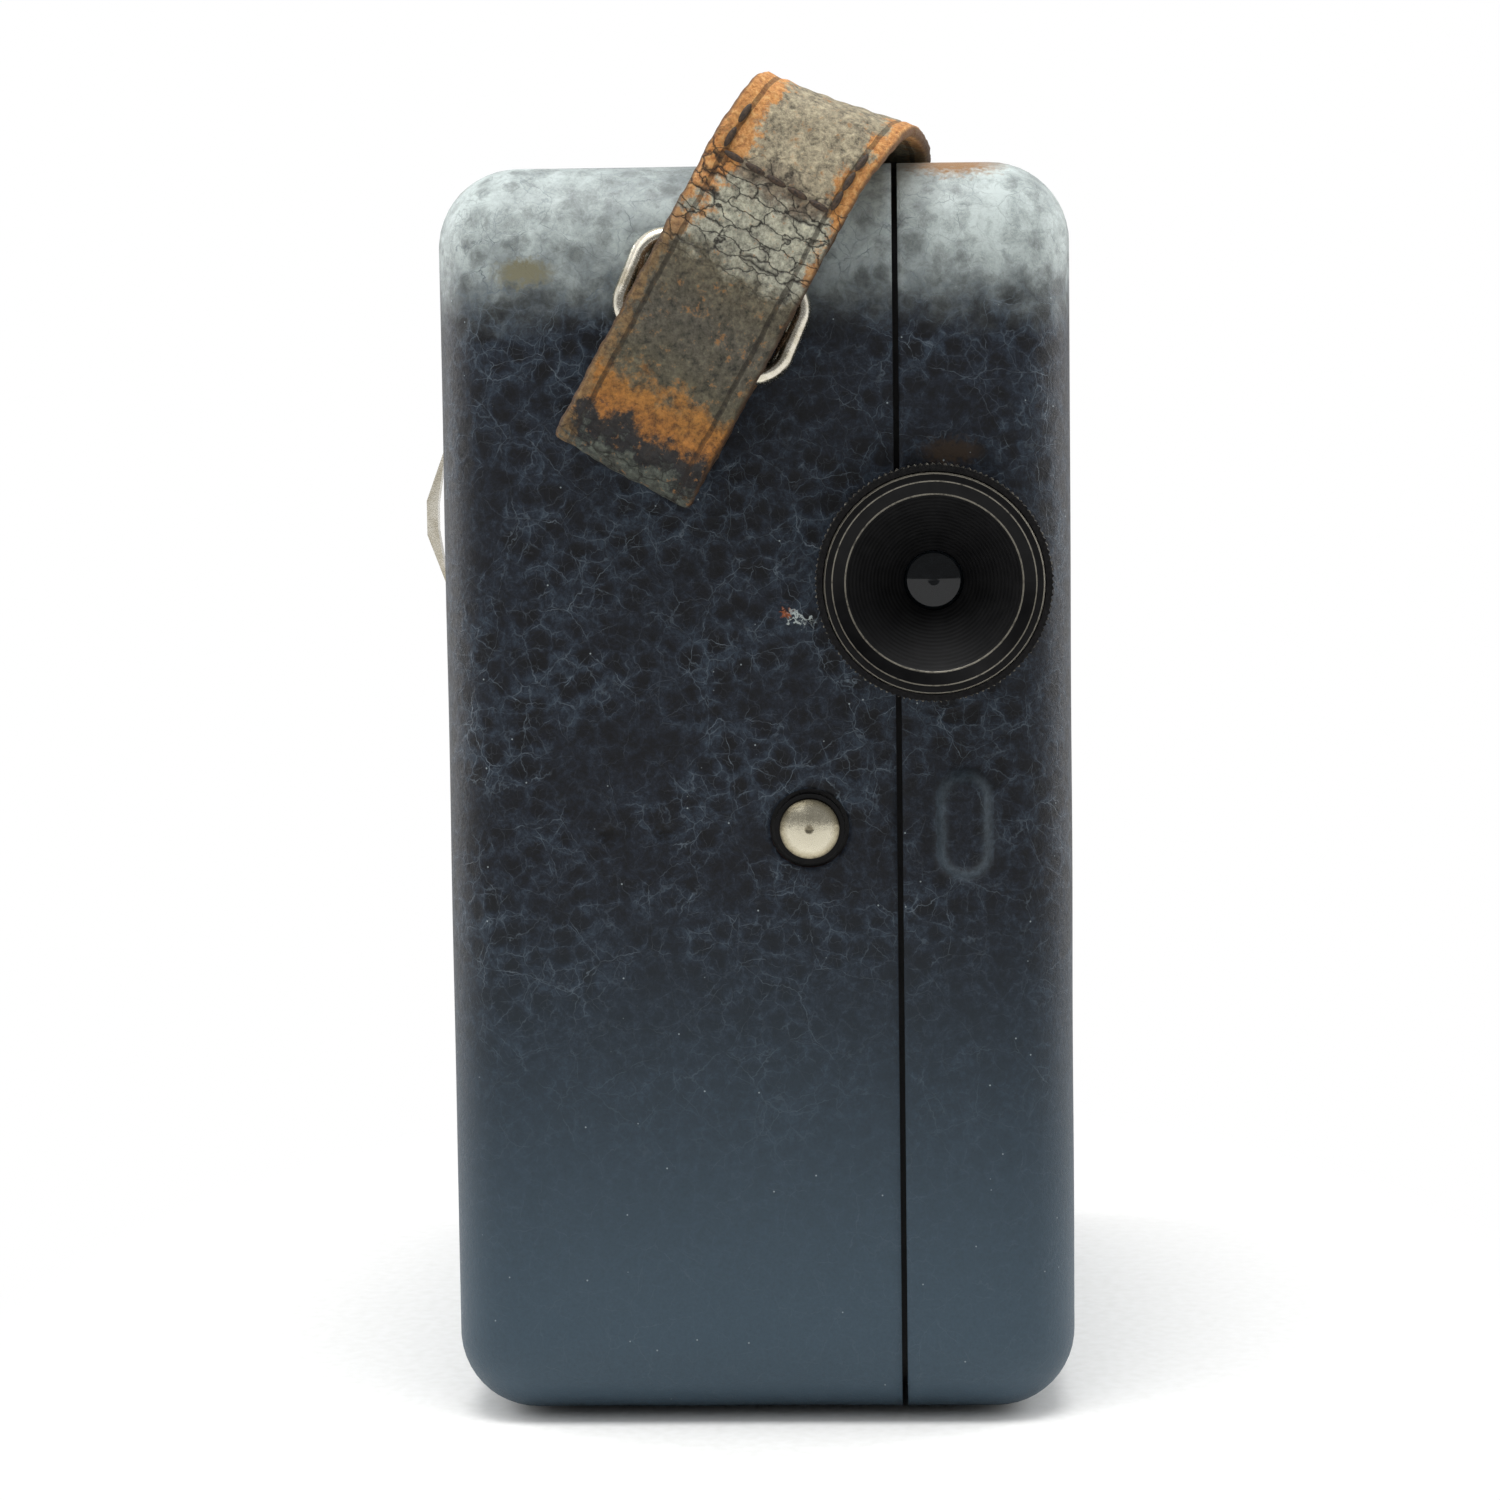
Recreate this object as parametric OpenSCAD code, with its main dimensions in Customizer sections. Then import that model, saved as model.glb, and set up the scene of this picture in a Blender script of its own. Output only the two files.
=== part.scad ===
// Pocket clockwork cine camera in a leather covered metal case.
// Millimetres, +Z up. The origin is the middle of the case's base, on the surface it stands on.
// The lens looks along -Y, the side door is at +X and the winding key at -X.

/* [Case] */
// Width of the case over the leather
case_w = 55; // [54:0.5:58]
// Depth of the case, front to rear
case_d = 90; // [88:1:100]
// Height of the case, without what the base plate adds
case_h = 110; // [109:0.5:118]
// Radius of the rounded edges
corner_r = 7; // [6.5:0.25:8]
// Thickness of the leather
leather_t = 0.7; // [0.6:0.1:0.8]
// Thickness of the metal shell
shell_t = 1.0; // [0.9:0.1:1.1]
// Width of the side door
door_w = 15.2; // [15:0.1:15.6]
// Width of the seam between door and case
seam_gap = 0.5; // [0.4:0.05:0.6]
// How far the base plate stands below the leather
base_proud = 0.3; // [0.2:0.1:0.5]
// Width of the base plate
base_w = 26; // [24:1:30]
// Length of the base plate
base_l = 56; // [50:1:62]
// Distance of the base plate's middle to the left of the case's
base_shift = 5; // [3:0.5:6]
// Radius of the tripod bush's thread
tripod_r = 2.6; // [2.5:0.05:3]

/* [Lens] */
// Distance of the lens axis to the right of the middle
lens_x = 15.4; // [15:0.1:15.8]
// Height of the lens axis
lens_z = 74.4; // [73.8:0.1:75]
// Radius of the lens tube where it passes the front wall
tube_r = 7.2; // [7:0.1:7.4]
// Radius of the knurled iris ring
iris_ring_r = 10.1; // [9.8:0.1:10.3]
// Radius of the front glass that shows
glass_r = 2.6; // [2.4:0.1:2.8]
// Thickness of an iris leaf
leaf_t = 0.12; // [0.08:0.01:0.14]

/* [Clockwork] */
// Radius of the spring barrel
drum_r = 19.5; // [19:0.25:20]
// Length of the spring barrel
drum_l = 12; // [10:0.5:12]
// Turns of the mainspring
spring_turns = 6; // [4:1:7]
// Radius of the shutter disc
shutter_r = 21; // [20:0.5:21]
// Angle of the opening in the shutter disc
shutter_open = 150; // [120:10:170]

/* [Release and key] */
// Radius of the release button
button_r = 2.575; // [2.4:0.025:2.6]
// Travel of the release button
button_travel = 1.6; // [1.4:0.1:1.7]
// Radius of the key's disc
key_disc_r = 8; // [7.8:0.1:9]
// Span of the key's bow
key_span = 14.8; // [14.6:0.1:15.2]

/* [Strap] */
// Width of the strap
strap_w = 13.1; // [12:0.1:13.3]
// Thickness of the strap
strap_t = 1.3; // [1.1:0.1:1.3]
// Thickness of the rings' wire
wire_d = 1.6; // [1.4:0.1:1.6]

/* [Clearances] */
// Radial clearance of a shaft in its hole
run_fit = 0.05; // [0.03:0.01:0.06]
// Gap between pieces that pass each other
pass_gap = 0.3; // [0.25:0.05:0.35]

/* [Hidden] */
$fn = 48;
front_y = -case_d / 2;
rear_y = case_d / 2;
left_x = -case_w / 2;
right_x = case_w / 2;
top_z = base_proud + case_h;
wall_t = leather_t + shell_t;
seam_x = right_x - door_w;
case_edge_x = seam_x - seam_gap / 2;
door_edge_x = seam_x + seam_gap / 2;
base_plate_t = 1;
eps = 0.01;

// Lens and shutter stations along Y, counted back from the front face
board_y = front_y + 4;
board_t = 1.5;
board_back_y = board_y + board_t;
shutter_y = board_back_y + 5.2;
shutter_t = 0.4;
gate_y = front_y + 16;
gate_t = 1;
tube_front_y = front_y - 3.7;
ring_back_y = front_y - 1.5;
bezel_front_y = front_y - 6.6;
ring_front_y = front_y - 5.9;
glass_y = front_y - 1.3;
lens_bore_r = 5.6;
wall_hole_r = tube_r + 0.4;
rim_r = iris_ring_r - 0.75;

// Stations of the works along X
plate_t = 1.5;
main_x = seam_x - 5.3;
motor_x = main_x - 21;
motor_in_x = motor_x + plate_t;
main_out_x = main_x + plate_t;
great_x = main_x - 6;
great_t = 2;
mesh_x = main_x - 3;
mesh_t = 1.2;

// Gear trains: teeth and modules
great_teeth = 60;
great_m = 0.7;
fine_m = 0.5;
wheel_teeth = 36;
pinion_teeth = 12;
miter_r = fine_m * pinion_teeth / 2;
miter_small = 0.6;

// Arbor places as [y, z], from the drive arbor outward
drive_at = [front_y + 26, lens_z];
fine_distance = fine_m * (wheel_teeth + pinion_teeth) / 2;
great_distance = great_m * (great_teeth + pinion_teeth) / 2;
second_angle = -51;
barrel_angle = 32;
governor_angle = -109.5;
second_at = drive_at + fine_distance * [cos(second_angle), sin(second_angle)];
barrel_at = second_at + great_distance * [cos(barrel_angle), sin(barrel_angle)];
governor_at = second_at + fine_distance * [cos(governor_angle), sin(governor_angle)];
shutter_x = main_x - 8;

// Rest phases that put each pair in mesh
great_phase = 0;
second_phase = mesh_phase(barrel_angle + 180, great_teeth, great_phase, pinion_teeth);
drive_phase = mesh_phase(second_angle + 180, wheel_teeth, second_phase, pinion_teeth);
governor_phase = mesh_phase(governor_angle, wheel_teeth, second_phase, pinion_teeth);
miter_phase = 0;
shutter_phase = 15;

// Button and lever
button_at = [seam_x - 7.8, 53];
button_out = 1.3;
stem_r = 1.2;
guide_r = button_r + run_fit;
stem_end_y = board_back_y + 3.3;
lever_pivot = [stem_end_y + 2.2, button_at[1] - 8];
lever_x = main_x - 3.6;
lever_t = 1.2;
post_r = 0.8;

// Winding side
arbor_r = 2.5;
pivot_r = 0.8;
ratchet_r = 6.5;
ratchet_teeth = 24;
ratchet_x = motor_x - 2.8;
ratchet_t = 1.5;
key_disc_x = left_x - 2.3;
key_disc_t = 1.1;
bow_axis_x = key_disc_x - 2.1;
bow_t = 1.1;
bow_w = 1.8;
click_angle = 135;
click_from = [1.3, 10.1];
click_turn = 90;
click_pivot = barrel_at + polar(norm(click_from), atan2(click_from[1], click_from[0]) + click_turn);

// Hinge at the rear of the seam
knuckle_r = 1.5;
hinge_pin_r = 0.8;
hinge_y = rear_y + knuckle_r + 0.1;
hinge_low = 25;
hinge_high = 85;
hinge_third = (hinge_high - hinge_low) / 4;
leaf_plate_t = 0.8;
leaf_w = 7;

// Strap: lean at the front, fold at the lower end
strap_lean = 29.4;
fold_at = [-11.3, top_z - 26.6];
ring_at = [-3.4, top_z - 12.6];
ring_lean = 23;
ring_l = 18;
ring_h = 12;
ring_corner = 3;
ring_tilt = 6.6;
ring_y = front_y - 2.2;
// Strap's centre line before the top: distance up the lean, distance in front of the case
strap_run = [
  [28.5, 4.0], [24, 3.95], [20, 3.85], [18, 3.4], [14.5, 1.7], [12, 1.2], [6, 1.1], [2, 1.2],
  [0.7, 1.7], [0, 2.8], [0.7, 3.9], [2, 4.4], [6, 4.55], [12, 4.6], [16, 4.8], [20, 5.25],
  [24, 5.35], [28.5, 5.4]
];
// Strap's centre line over the top: x, distance behind the front face, height over the top, lean
strap_over = [
  [4.5, -5.3, 1.3, 29], [5.9, -4.4, 3.6, 27], [6.9, -2.6, 4.8, 24], [7.7, 0, 5.0, 20],
  [8.4, 4, 4.2, 15], [8.9, 10, 2.6, 8], [9, 17, 1.4, 3], [9, 25, 0.87, 0], [9, 35, 0.87, 0]
];

function mesh_phase(a, n1, phase1, n2) = a + 180 - 360 / n2 * (0.5 - (a - phase1) * n1 / 360);
function polar(r, a) = [r * cos(a), r * sin(a)];
function involute(a) = tan(a) * 180 / PI - a;
// Half the angle of a tooth at radius r; slack narrows the tooth, in modules
function tooth_half(r, n, m, slack) =
  let (rp = n * m / 2, rb = rp * cos(25), rr = max(r, rb))
  90 / n - slack * m / rp * 90 / PI + involute(25) - involute(acos(rb / rr));
function flank_radii(n, m) =
  let (rp = n * m / 2) [rp - 1.2 * m, rp - 0.45 * m, rp + 0.1 * m, rp + 0.5 * m, rp + 0.85 * m];
function gear_points(n, m, slack = 0.1) = [
  for (i = [0 : n - 1])
    for (side = [-1, 1])
      let (radii = flank_radii(n, m))
      for (k = [0 : 4])
        let (r = radii[side < 0 ? k : 4 - k])
        polar(r, 360 / n * i + side * tooth_half(r, n, m, slack))
];
// Section of a 45 degree bevel gear at its large end
function miter_points(n, m, slack = 0.16) = [
  for (i = [0 : n - 1])
    for (side = [-1, 1])
      let (rv = n * m / 2 * sqrt(2), nv = n * sqrt(2), tv = [-1.15, -0.4, 0.1, 0.45, 0.75] * m)
      for (k = [0 : 4])
        let (
          t = tv[side < 0 ? k : 4 - k],
          flat = n * m / 2,
          grow = flat / (flat - t / sqrt(2)),
          half = tooth_half(rv + t, nv, m, slack) * sqrt(2)
        )
        polar(grow * (flat + t / sqrt(2)), 360 / n * i + side * half)
];

// Local x, y, z become world Y, Z, X
module along_x(x, at = [0, 0]) translate([x, at[0], at[1]]) rotate([90, 0, 90]) children();
// Local z becomes world Y
module along_y(y, at = [0, 0]) translate([at[0], y, at[1]]) rotate([-90, 0, 0]) children();
module lens_axis(y) along_y(y, [lens_x, lens_z]) children();
module front_and_rear() {
  children();
  mirror([0, 1, 0]) children();
}

// Block with all edges rounded, inset from the outside of the leather
module block(inset) {
  r = corner_r - inset;
  xs = [left_x + corner_r, right_x - corner_r];
  ys = [front_y + corner_r, rear_y - corner_r];
  zs = [base_proud + corner_r, top_z - corner_r];
  run = [xs[1] - xs[0], ys[1] - ys[0], zs[1] - zs[0]];
  low = [xs[0], ys[0], zs[0]];
  for (a = [0 : 2])
    translate([for (k = [0 : 2]) low[k] - (k == a ? r : 0)])
      cube([for (k = [0 : 2]) run[k] + (k == a ? 2 * r : 0)]);
  for (x = xs)
    for (y = ys) translate([x, y, low[2]]) cylinder(r = r, h = run[2]);
  for (x = xs)
    for (z = zs) translate([x, low[1], z]) rotate([-90, 0, 0]) cylinder(r = r, h = run[1]);
  for (y = ys)
    for (z = zs) translate([low[0], y, z]) rotate([0, 90, 0]) cylinder(r = r, h = run[0]);
  for (x = xs)
    for (y = ys)
      for (z = zs) translate([x, y, z]) sphere(r);
}
module case_side(edge) translate([left_x - 1, front_y - 1, 0]) cube([edge - left_x + 1, case_d + 2, top_z + 1]);
module door_side(edge) translate([edge, front_y - 3, 0]) cube([right_x - edge + 1, case_d + 4, top_z + 1]);
module base_hole(extra = 0)
  translate([-base_shift - base_w / 2 - extra, -base_l / 2 - extra, -1])
    cube([base_w + 2 * extra, base_l + 2 * extra, base_plate_t + 1]);
// Notch for the lens tube, open toward the seam
module lens_notch() {
  lens_axis(front_y - 5) cylinder(r = wall_hole_r, h = 8);
  translate([seam_x - 2, front_y - 5, lens_z - wall_hole_r]) cube([lens_x - seam_x + 2, 8, 2 * wall_hole_r]);
}
module screw_spots_base()
  for (x = [-base_w / 2 + 3, base_w / 2 - 3])
    for (y = [-base_l / 2 + 4, base_l / 2 - 4]) translate([x - base_shift, y, 0]) children();
// Section of the case between the rounded sides, as a flat shape in Y and Z
module side_section(inset) {
  r = corner_r - inset;
  translate([front_y + inset, base_proud + corner_r]) square([case_d - 2 * inset, case_h - 2 * corner_r]);
  translate([front_y + corner_r, base_proud + inset]) square([case_d - 2 * corner_r, case_h - 2 * inset]);
  for (y = [front_y + corner_r, rear_y - corner_r])
    for (z = [base_proud + corner_r, top_z - corner_r]) translate([y, z]) circle(r);
}

// Case

module case_leather() color("#2b333c") difference() {
  intersection() {
    block(0);
    case_side(case_edge_x);
  }
  block(leather_t);
  base_hole(eps);
  lens_notch();
  along_y(front_y - 2, button_at) cylinder(r = button_guide_r(), h = 4);
  along_x(left_x - 1, barrel_at) cylinder(r = key_bush_r(), h = 3);
  rivet_holes(-1);
}
function button_guide_r() = guide_r + 0.4;
function key_bush_r() = arbor_r + 1.6;

module case_shell() color("#8d9196") difference() {
  intersection() {
    block(leather_t);
    case_side(case_edge_x);
  }
  block(wall_t);
  lens_notch();
  along_y(front_y - 2, button_at) cylinder(r = button_guide_r(), h = 6);
  along_x(left_x - 1, barrel_at) cylinder(r = key_bush_r(), h = 5);
  screw_spots_base() cylinder(r = 1, h = 5);
  translate([tripod_at[0], tripod_at[1], 0]) cylinder(r = tripod_body_r, h = 5);
  rivet_holes(-1);
}
tripod_at = [-7, 5];
tripod_body_r = tripod_r + 1.9;

// Frame inside the mouth of the case; its lip reaches into the door
trap_t = 0.8;
module light_trap() color("#1d1f22") difference() {
  union() {
    along_x(seam_x - 3) linear_extrude(case_edge_x - seam_x + 3) side_section(wall_t);
    along_x(case_edge_x) linear_extrude(2.5 + seam_gap / 2) side_section(wall_t + pass_gap);
  }
  along_x(seam_x - 4) linear_extrude(8) side_section(wall_t + pass_gap + trap_t);
  lens_axis(front_y) cylinder(r = tube_r + 1.2, h = 5);
  translate([lens_x, front_y + 1, lens_z - tube_r - 1.2]) cube([8, 3, 2 * tube_r + 2.4]);
}

module base_plate() color("#b9b6aa") difference() {
  translate([-base_shift - base_w / 2, -base_l / 2, 0]) cube([base_w, base_l, base_plate_t]);
  screw_spots_base() translate([0, 0, -1]) cylinder(r = 1, h = 3);
  screw_spots_base() translate([0, 0, -eps]) cylinder(r1 = 2, r2 = 1, h = 0.9);
  translate([tripod_at[0], tripod_at[1], -1]) cylinder(r = tripod_body_r, h = 3);
}

module base_screws() color("#c9c6ba") screw_spots_base() {
  translate([0, 0, 0.2]) cylinder(r1 = 1.7, r2 = 1, h = 0.62);
  translate([0, 0, 0.2]) cylinder(r = 1, h = 3.6);
}

module tripod_bush() color("#c2a24a") translate([tripod_at[0], tripod_at[1], 0]) difference() {
  union() {
    translate([0, 0, 0.2]) cylinder(r = tripod_body_r, h = 8);
    translate([0, 0, base_proud + wall_t]) cylinder(r = tripod_body_r + 2.5, h = 1.4);
  }
  translate([0, 0, -1]) cylinder(r = tripod_r, h = 8);
}

// Hinge: the case keeps the outer knuckles, the door the middle one
module hinge_leaf(side, lows, highs, bore) difference() {
  union() {
    for (k = [0 : len(lows) - 1]) {
      translate([seam_x, hinge_y, lows[k]]) cylinder(r = knuckle_r, h = highs[k] - lows[k]);
      translate([seam_x + min(side * leaf_w, 0), rear_y, lows[k]])
        cube([leaf_w, leaf_plate_t, highs[k] - lows[k]]);
    }
    if (len(lows) > 1)
      translate([seam_x - leaf_w, rear_y, hinge_low])
        cube([leaf_w - knuckle_r - pass_gap, leaf_plate_t, hinge_high - hinge_low]);
  }
  translate([seam_x, hinge_y, hinge_low - 1]) cylinder(r = bore, h = hinge_high - hinge_low + 2);
  hinge_screw_spots(side) along_y(rear_y - 1) cylinder(r = 0.6, h = 3);
}
module hinge_screw_spots(side)
  for (z = side < 0 ? [hinge_low + 6, hinge_high - 6] : [hinge_low + 22, hinge_high - 22])
    translate([seam_x + side * 4.6, 0, z]) children();
module case_hinge_leaf() color("#a9abac")
  hinge_leaf(-1, [hinge_low, hinge_high - hinge_third], [hinge_low + hinge_third, hinge_high], hinge_pin_r);
module door_hinge_leaf() color("#a9abac") {
  hinge_leaf(1, [hinge_low + hinge_third + 0.2], [hinge_high - hinge_third - 0.2], hinge_pin_r + run_fit);
  hinge_screw_spots(1) rivet();
}
module hinge_pin() color("#c4c6c8")
  translate([seam_x, hinge_y, hinge_low - 0.4]) cylinder(r = hinge_pin_r, h = hinge_high - hinge_low + 0.8);
module rivet_holes(side) hinge_screw_spots(side) along_y(rear_y - 3) cylinder(r = 0.6, h = 4);
module rivet() along_y(rear_y - wall_t) {
  cylinder(r = 0.6, h = wall_t + leaf_plate_t + 0.4);
  translate([0, 0, wall_t + leaf_plate_t]) cylinder(r1 = 1.1, r2 = 0.7, h = 0.4);
}
module hinge_screws() color("#c4c6c8") hinge_screw_spots(-1) rivet();

// Strap hardware
// Turns a shape drawn round the ring's middle so that its long way lies across the strap
module at_ring() translate([ring_at[0], ring_y, ring_at[1]]) rotate([0, ring_lean, 0]) children();
module ring_one() at_ring() rotate([-ring_tilt, 0, 0]) {
  r = wire_d / 2;
  half_l = ring_l / 2 - r;
  half_h = ring_h / 2 - r;
  for (z = [-half_h, half_h])
    translate([-half_l + ring_corner, 0, z]) rotate([0, 90, 0])
      cylinder(r = r, h = 2 * (half_l - ring_corner), $fn = 24);
  for (x = [-half_l, half_l])
    translate([x, 0, -half_h + ring_corner]) cylinder(r = r, h = 2 * (half_h - ring_corner), $fn = 24);
  for (q = [[1, 1, 0], [-1, 1, 90], [-1, -1, 180], [1, -1, 270]])
    translate([q[0] * (half_l - ring_corner), 0, q[1] * (half_h - ring_corner)])
      rotate([90, 0, 0]) rotate([0, 0, q[2]])
        rotate_extrude(angle = 90, $fn = 48) translate([ring_corner, 0]) circle(r, $fn = 24);
}
module strap_rings() color("#d8d2c0") front_and_rear() ring_one();

lug_bar_h = ring_h / 2 - wire_d / 2;
lug_at = [
  ring_at[0] + lug_bar_h * sin(ring_lean) * cos(ring_tilt),
  ring_y + lug_bar_h * sin(ring_tilt),
  ring_at[1] + lug_bar_h * cos(ring_lean) * cos(ring_tilt)
];
module lug_one() {
  translate([lug_at[0], lug_at[1], lug_at[2]]) rotate([0, ring_lean, 0]) difference() {
    rotate([0, 90, 0]) cylinder(r = wire_d / 2 + 0.6, h = 4.4, center = true);
    rotate([0, 90, 0]) cylinder(r = wire_d / 2, h = 6, center = true);
  }
  translate([lug_at[0] - 4, front_y - 0.7, lug_at[2] - 3.6]) difference() {
    cube([8, 0.7, 4.2]);
    for (x = [1.2, 6.8]) translate([x, -1, 1.2]) rotate([-90, 0, 0]) cylinder(r = 0.5, h = 3);
  }
}
module strap_lugs() color("#cfcabb") front_and_rear() lug_one();

// Strap: a rounded oblong section swept along its centre line
function strap_section(t, w) = [
  [-w / 2, -t * 0.25], [-w / 2 + t * 0.3, -t / 2], [w / 2 - t * 0.3, -t / 2], [w / 2, -t * 0.25],
  [w / 2, t * 0.25], [w / 2 - t * 0.3, t / 2], [-w / 2 + t * 0.3, t / 2], [-w / 2, t * 0.25]
];
// Each station: centre, lean in degrees
strap_front = concat(
  [for (p = strap_run)
    [[fold_at[0] + p[0] * sin(strap_lean), front_y - p[1], fold_at[1] + p[0] * cos(strap_lean)], strap_lean]],
  [for (p = strap_over) [[p[0], front_y + p[1], top_z + p[2]], p[3]]]
);
strap_stations = concat(
  strap_front,
  [for (i = [len(strap_front) - 1 : -1 : 0])
    let (s = strap_front[i]) [[s[0][0], -s[0][1], s[0][2]], s[1]]]
);
module strap() color("#3a332d") {
  last = len(strap_stations) - 1;
  section = strap_section(strap_t, strap_w);
  points = [
    for (i = [0 : last])
      let (
        c = strap_stations[i][0],
        lean = strap_stations[i][1],
        ahead = strap_stations[min(i + 1, last)][0] - strap_stations[max(i - 1, 0)][0],
        across = [cos(lean), 0, -sin(lean)],
        run = ahead - (ahead * across) * across,
        tangent = run / norm(run),
        normal = cross(tangent, across)
      )
      for (q = section) c + q[0] * across + q[1] * normal
  ];
  sides = len(section);
  polyhedron(points, concat(
    [[for (k = [0 : sides - 1]) k]],
    [[for (k = [sides - 1 : -1 : 0]) last * sides + k]],
    [for (i = [0 : last - 1])
      for (k = [0 : sides - 1])
        let (a = i * sides + k, b = i * sides + (k + 1) % sides)
        each [[a, a + sides, b], [b, a + sides, b + sides]]]
  ));
}

// Plates

plate_low = base_proud + 4.2;
plate_high = top_z - 4.8;
plate_rear = rear_y - 3;
plate_front = shutter_y + 3;
motor_low = lens_z - 28.4;
pillar_spots = [
  [plate_rear - 6, plate_high - 5], [plate_rear - 6, motor_low + 4],
  [plate_front + 4, motor_low + 5], [gate_y + 15, plate_high - 5]
];
module arbor_holes(x, r_barrel, r_pivot) {
  along_x(x, barrel_at) cylinder(r = r_barrel + run_fit, h = plate_t + 2);
  for (at = [second_at, drive_at, governor_at]) along_x(x, at) cylinder(r = r_pivot + run_fit, h = plate_t + 2);
}
module main_plate() color("#c7b57a") difference() {
  union() {
    translate([main_x, plate_front, plate_low]) cube([plate_t, plate_rear - plate_front, plate_high - plate_low]);
    translate([main_x, board_back_y, plate_low]) cube([plate_t, 10, shutter_low - plate_low]);
    translate([main_x, board_back_y, shutter_high]) cube([plate_t, 10, plate_high - shutter_high]);
  }
  along_x(main_x - 1, barrel_at) cylinder(r = barrel_pivot_r + run_fit, h = plate_t + 2);
  along_x(main_x - 1, second_at) cylinder(r = arbor_thin_r + run_fit, h = plate_t + 2);
  along_x(main_x - 1, drive_at) cylinder(r = arbor_thin_r + run_fit, h = plate_t + 2);
  along_x(main_x - 1, governor_at) cylinder(r = pivot_r + run_fit, h = plate_t + 2);
  for (at = pillar_spots) along_x(main_x - 1, at) cylinder(r = 1, h = plate_t + 2);
}
barrel_pivot_r = 2;
arbor_thin_r = 1.2;
shutter_low = lens_z - shutter_r - 2.5;
shutter_high = lens_z + shutter_r + 2.5;

module motor_plate() color("#c7b57a") difference() {
  translate([motor_x, plate_front, motor_low]) cube([plate_t, plate_rear - plate_front, plate_high - motor_low]);
  arbor_holes(motor_x - 1, arbor_r, pivot_r);
  for (at = pillar_spots) along_x(motor_x - 1, at) cylinder(r = 1, h = plate_t + 2);
}
module plate_pillars() color("#cdbb80")
  for (at = pillar_spots) along_x(motor_in_x, at) difference() {
    cylinder(r = 2.2, h = main_x - motor_in_x);
    translate([0, 0, -1]) cylinder(r = 1, h = 5);
    translate([0, 0, main_x - motor_in_x - 4]) cylinder(r = 1, h = 5);
  }
module plate_screws() color("#8f99a6")
  for (at = pillar_spots) {
    along_x(motor_x - 0.9, at) cylinder(r = 1.8, h = 0.9);
    along_x(motor_x - 0.9, at) cylinder(r = 1, h = plate_t + 4);
    along_x(main_out_x, at) cylinder(r = 1.8, h = 0.9);
    along_x(main_x - 3, at) cylinder(r = 1, h = plate_t + 3.5);
  }
// Blocks that carry the main plate on the case floor and top, and the lens board on the plate
module plate_feet() color("#c7b57a") {
  for (y = [12 - base_l / 2, base_l / 2 - 14])
    translate([main_x - 4, y, base_proud + wall_t]) cube([4, 8, 7]);
  for (y = [gate_y + 21, base_l / 2 - 14])
    translate([main_x - 4, y, top_z - wall_t - 8]) cube([4, 8, 8]);
  translate([main_out_x, board_back_y, shutter_low - 3.6]) cube([3.5, 4, 3.5]);
  translate([main_x - 4, board_back_y, shutter_high + 0.2]) cube([4, 4, 3.5]);
}
module lens_board() color("#2a2c2f") difference() {
  translate([shutter_x - 5, board_y, shutter_low - 4]) cube([right_x - 3.5 - shutter_x + 5, board_t, shutter_high - shutter_low + 8]);
  translate([main_out_x + 4.5, board_y - 1, shutter_low - 5]) cube([20, board_t + 2, 13]);
  lens_axis(board_y - 1) cylinder(r = lens_bore_r, h = board_t + 2);
  along_y(board_y - 1, [shutter_x, lens_z]) cylinder(r = shutter_shaft_r + run_fit, h = board_t + 2);
  along_y(board_y - 1, button_at) cylinder(r = stem_r + 0.3, h = board_t + 2);
}
shutter_shaft_r = 1;

// Lens

module lens_mount() color("#3c3e41") difference() {
  union() {
    lens_axis(board_y - 1.2) cylinder(r = tube_r + 0.7, h = 1.2);
    lens_axis(tube_front_y) cylinder(r = tube_r, h = board_y - tube_front_y);
  }
  lens_axis(tube_front_y - 1) cylinder(r = lens_bore_r, h = board_y - tube_front_y + 2);
}
// Ring with a fine straight knurl
knurl_teeth = 120;
module iris_ring() color("#8b8578") difference() {
  lens_axis(ring_front_y) linear_extrude(ring_back_y - ring_front_y)
    polygon([for (i = [0 : knurl_teeth * 2 - 1]) polar(iris_ring_r - (i % 2) * 0.18, 180 / knurl_teeth * i)]);
  lens_axis(ring_front_y - 1) cylinder(r = tube_r + run_fit, h = 10);
  lens_axis(ring_front_y - 1) cylinder(r = rim_r + 0.1, h = tube_front_y + 0.2 - ring_front_y + 1);
}
// Bezel with a rim, a sloped face and a grooved cone down to the glass
module front_bezel() color("#4a4a48") lens_axis(0) rotate_extrude($fn = 96) polygon([
  [glass_r, glass_y], [cone_r, bezel_front_y + 0.5], [rim_r - 0.6, bezel_front_y],
  [rim_r - 0.1, bezel_front_y], [rim_r, bezel_front_y + 0.3], [rim_r, tube_front_y - 0.1],
  [rim_r - 0.1, tube_front_y], [lens_bore_r, tube_front_y], [lens_bore_r, glass_y + 2.2],
  [glass_seat_r, glass_y + 2.2], [glass_seat_r, glass_y + 0.3], [glass_r, glass_y + 0.3]
]);
cone_r = rim_r - 1.85;
glass_seat_r = glass_r + 0.5;
module front_glass() color([0.6, 0.7, 0.75, 0.4]) lens_axis(glass_y + 0.3) intersection() {
  cylinder(r = glass_seat_r, h = 1.8);
  translate([0, 0, 9.6]) sphere(9.6);
}
module rear_cell() color("#3c3e41") {
  difference() {
    lens_axis(board_y) cylinder(r = lens_bore_r, h = 3.2);
    lens_axis(board_y - 1) cylinder(r = rear_glass_r, h = 5);
  }
  for (i = [0 : 4])
    lens_axis(leaf_y) rotate([0, 0, 72 * i]) translate([leaf_pivot_r, 0, i * leaf_layer - 0.02])
      cylinder(r = 0.3, h = board_y - leaf_y - i * leaf_layer + 0.5, $fn = 24);
}
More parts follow.
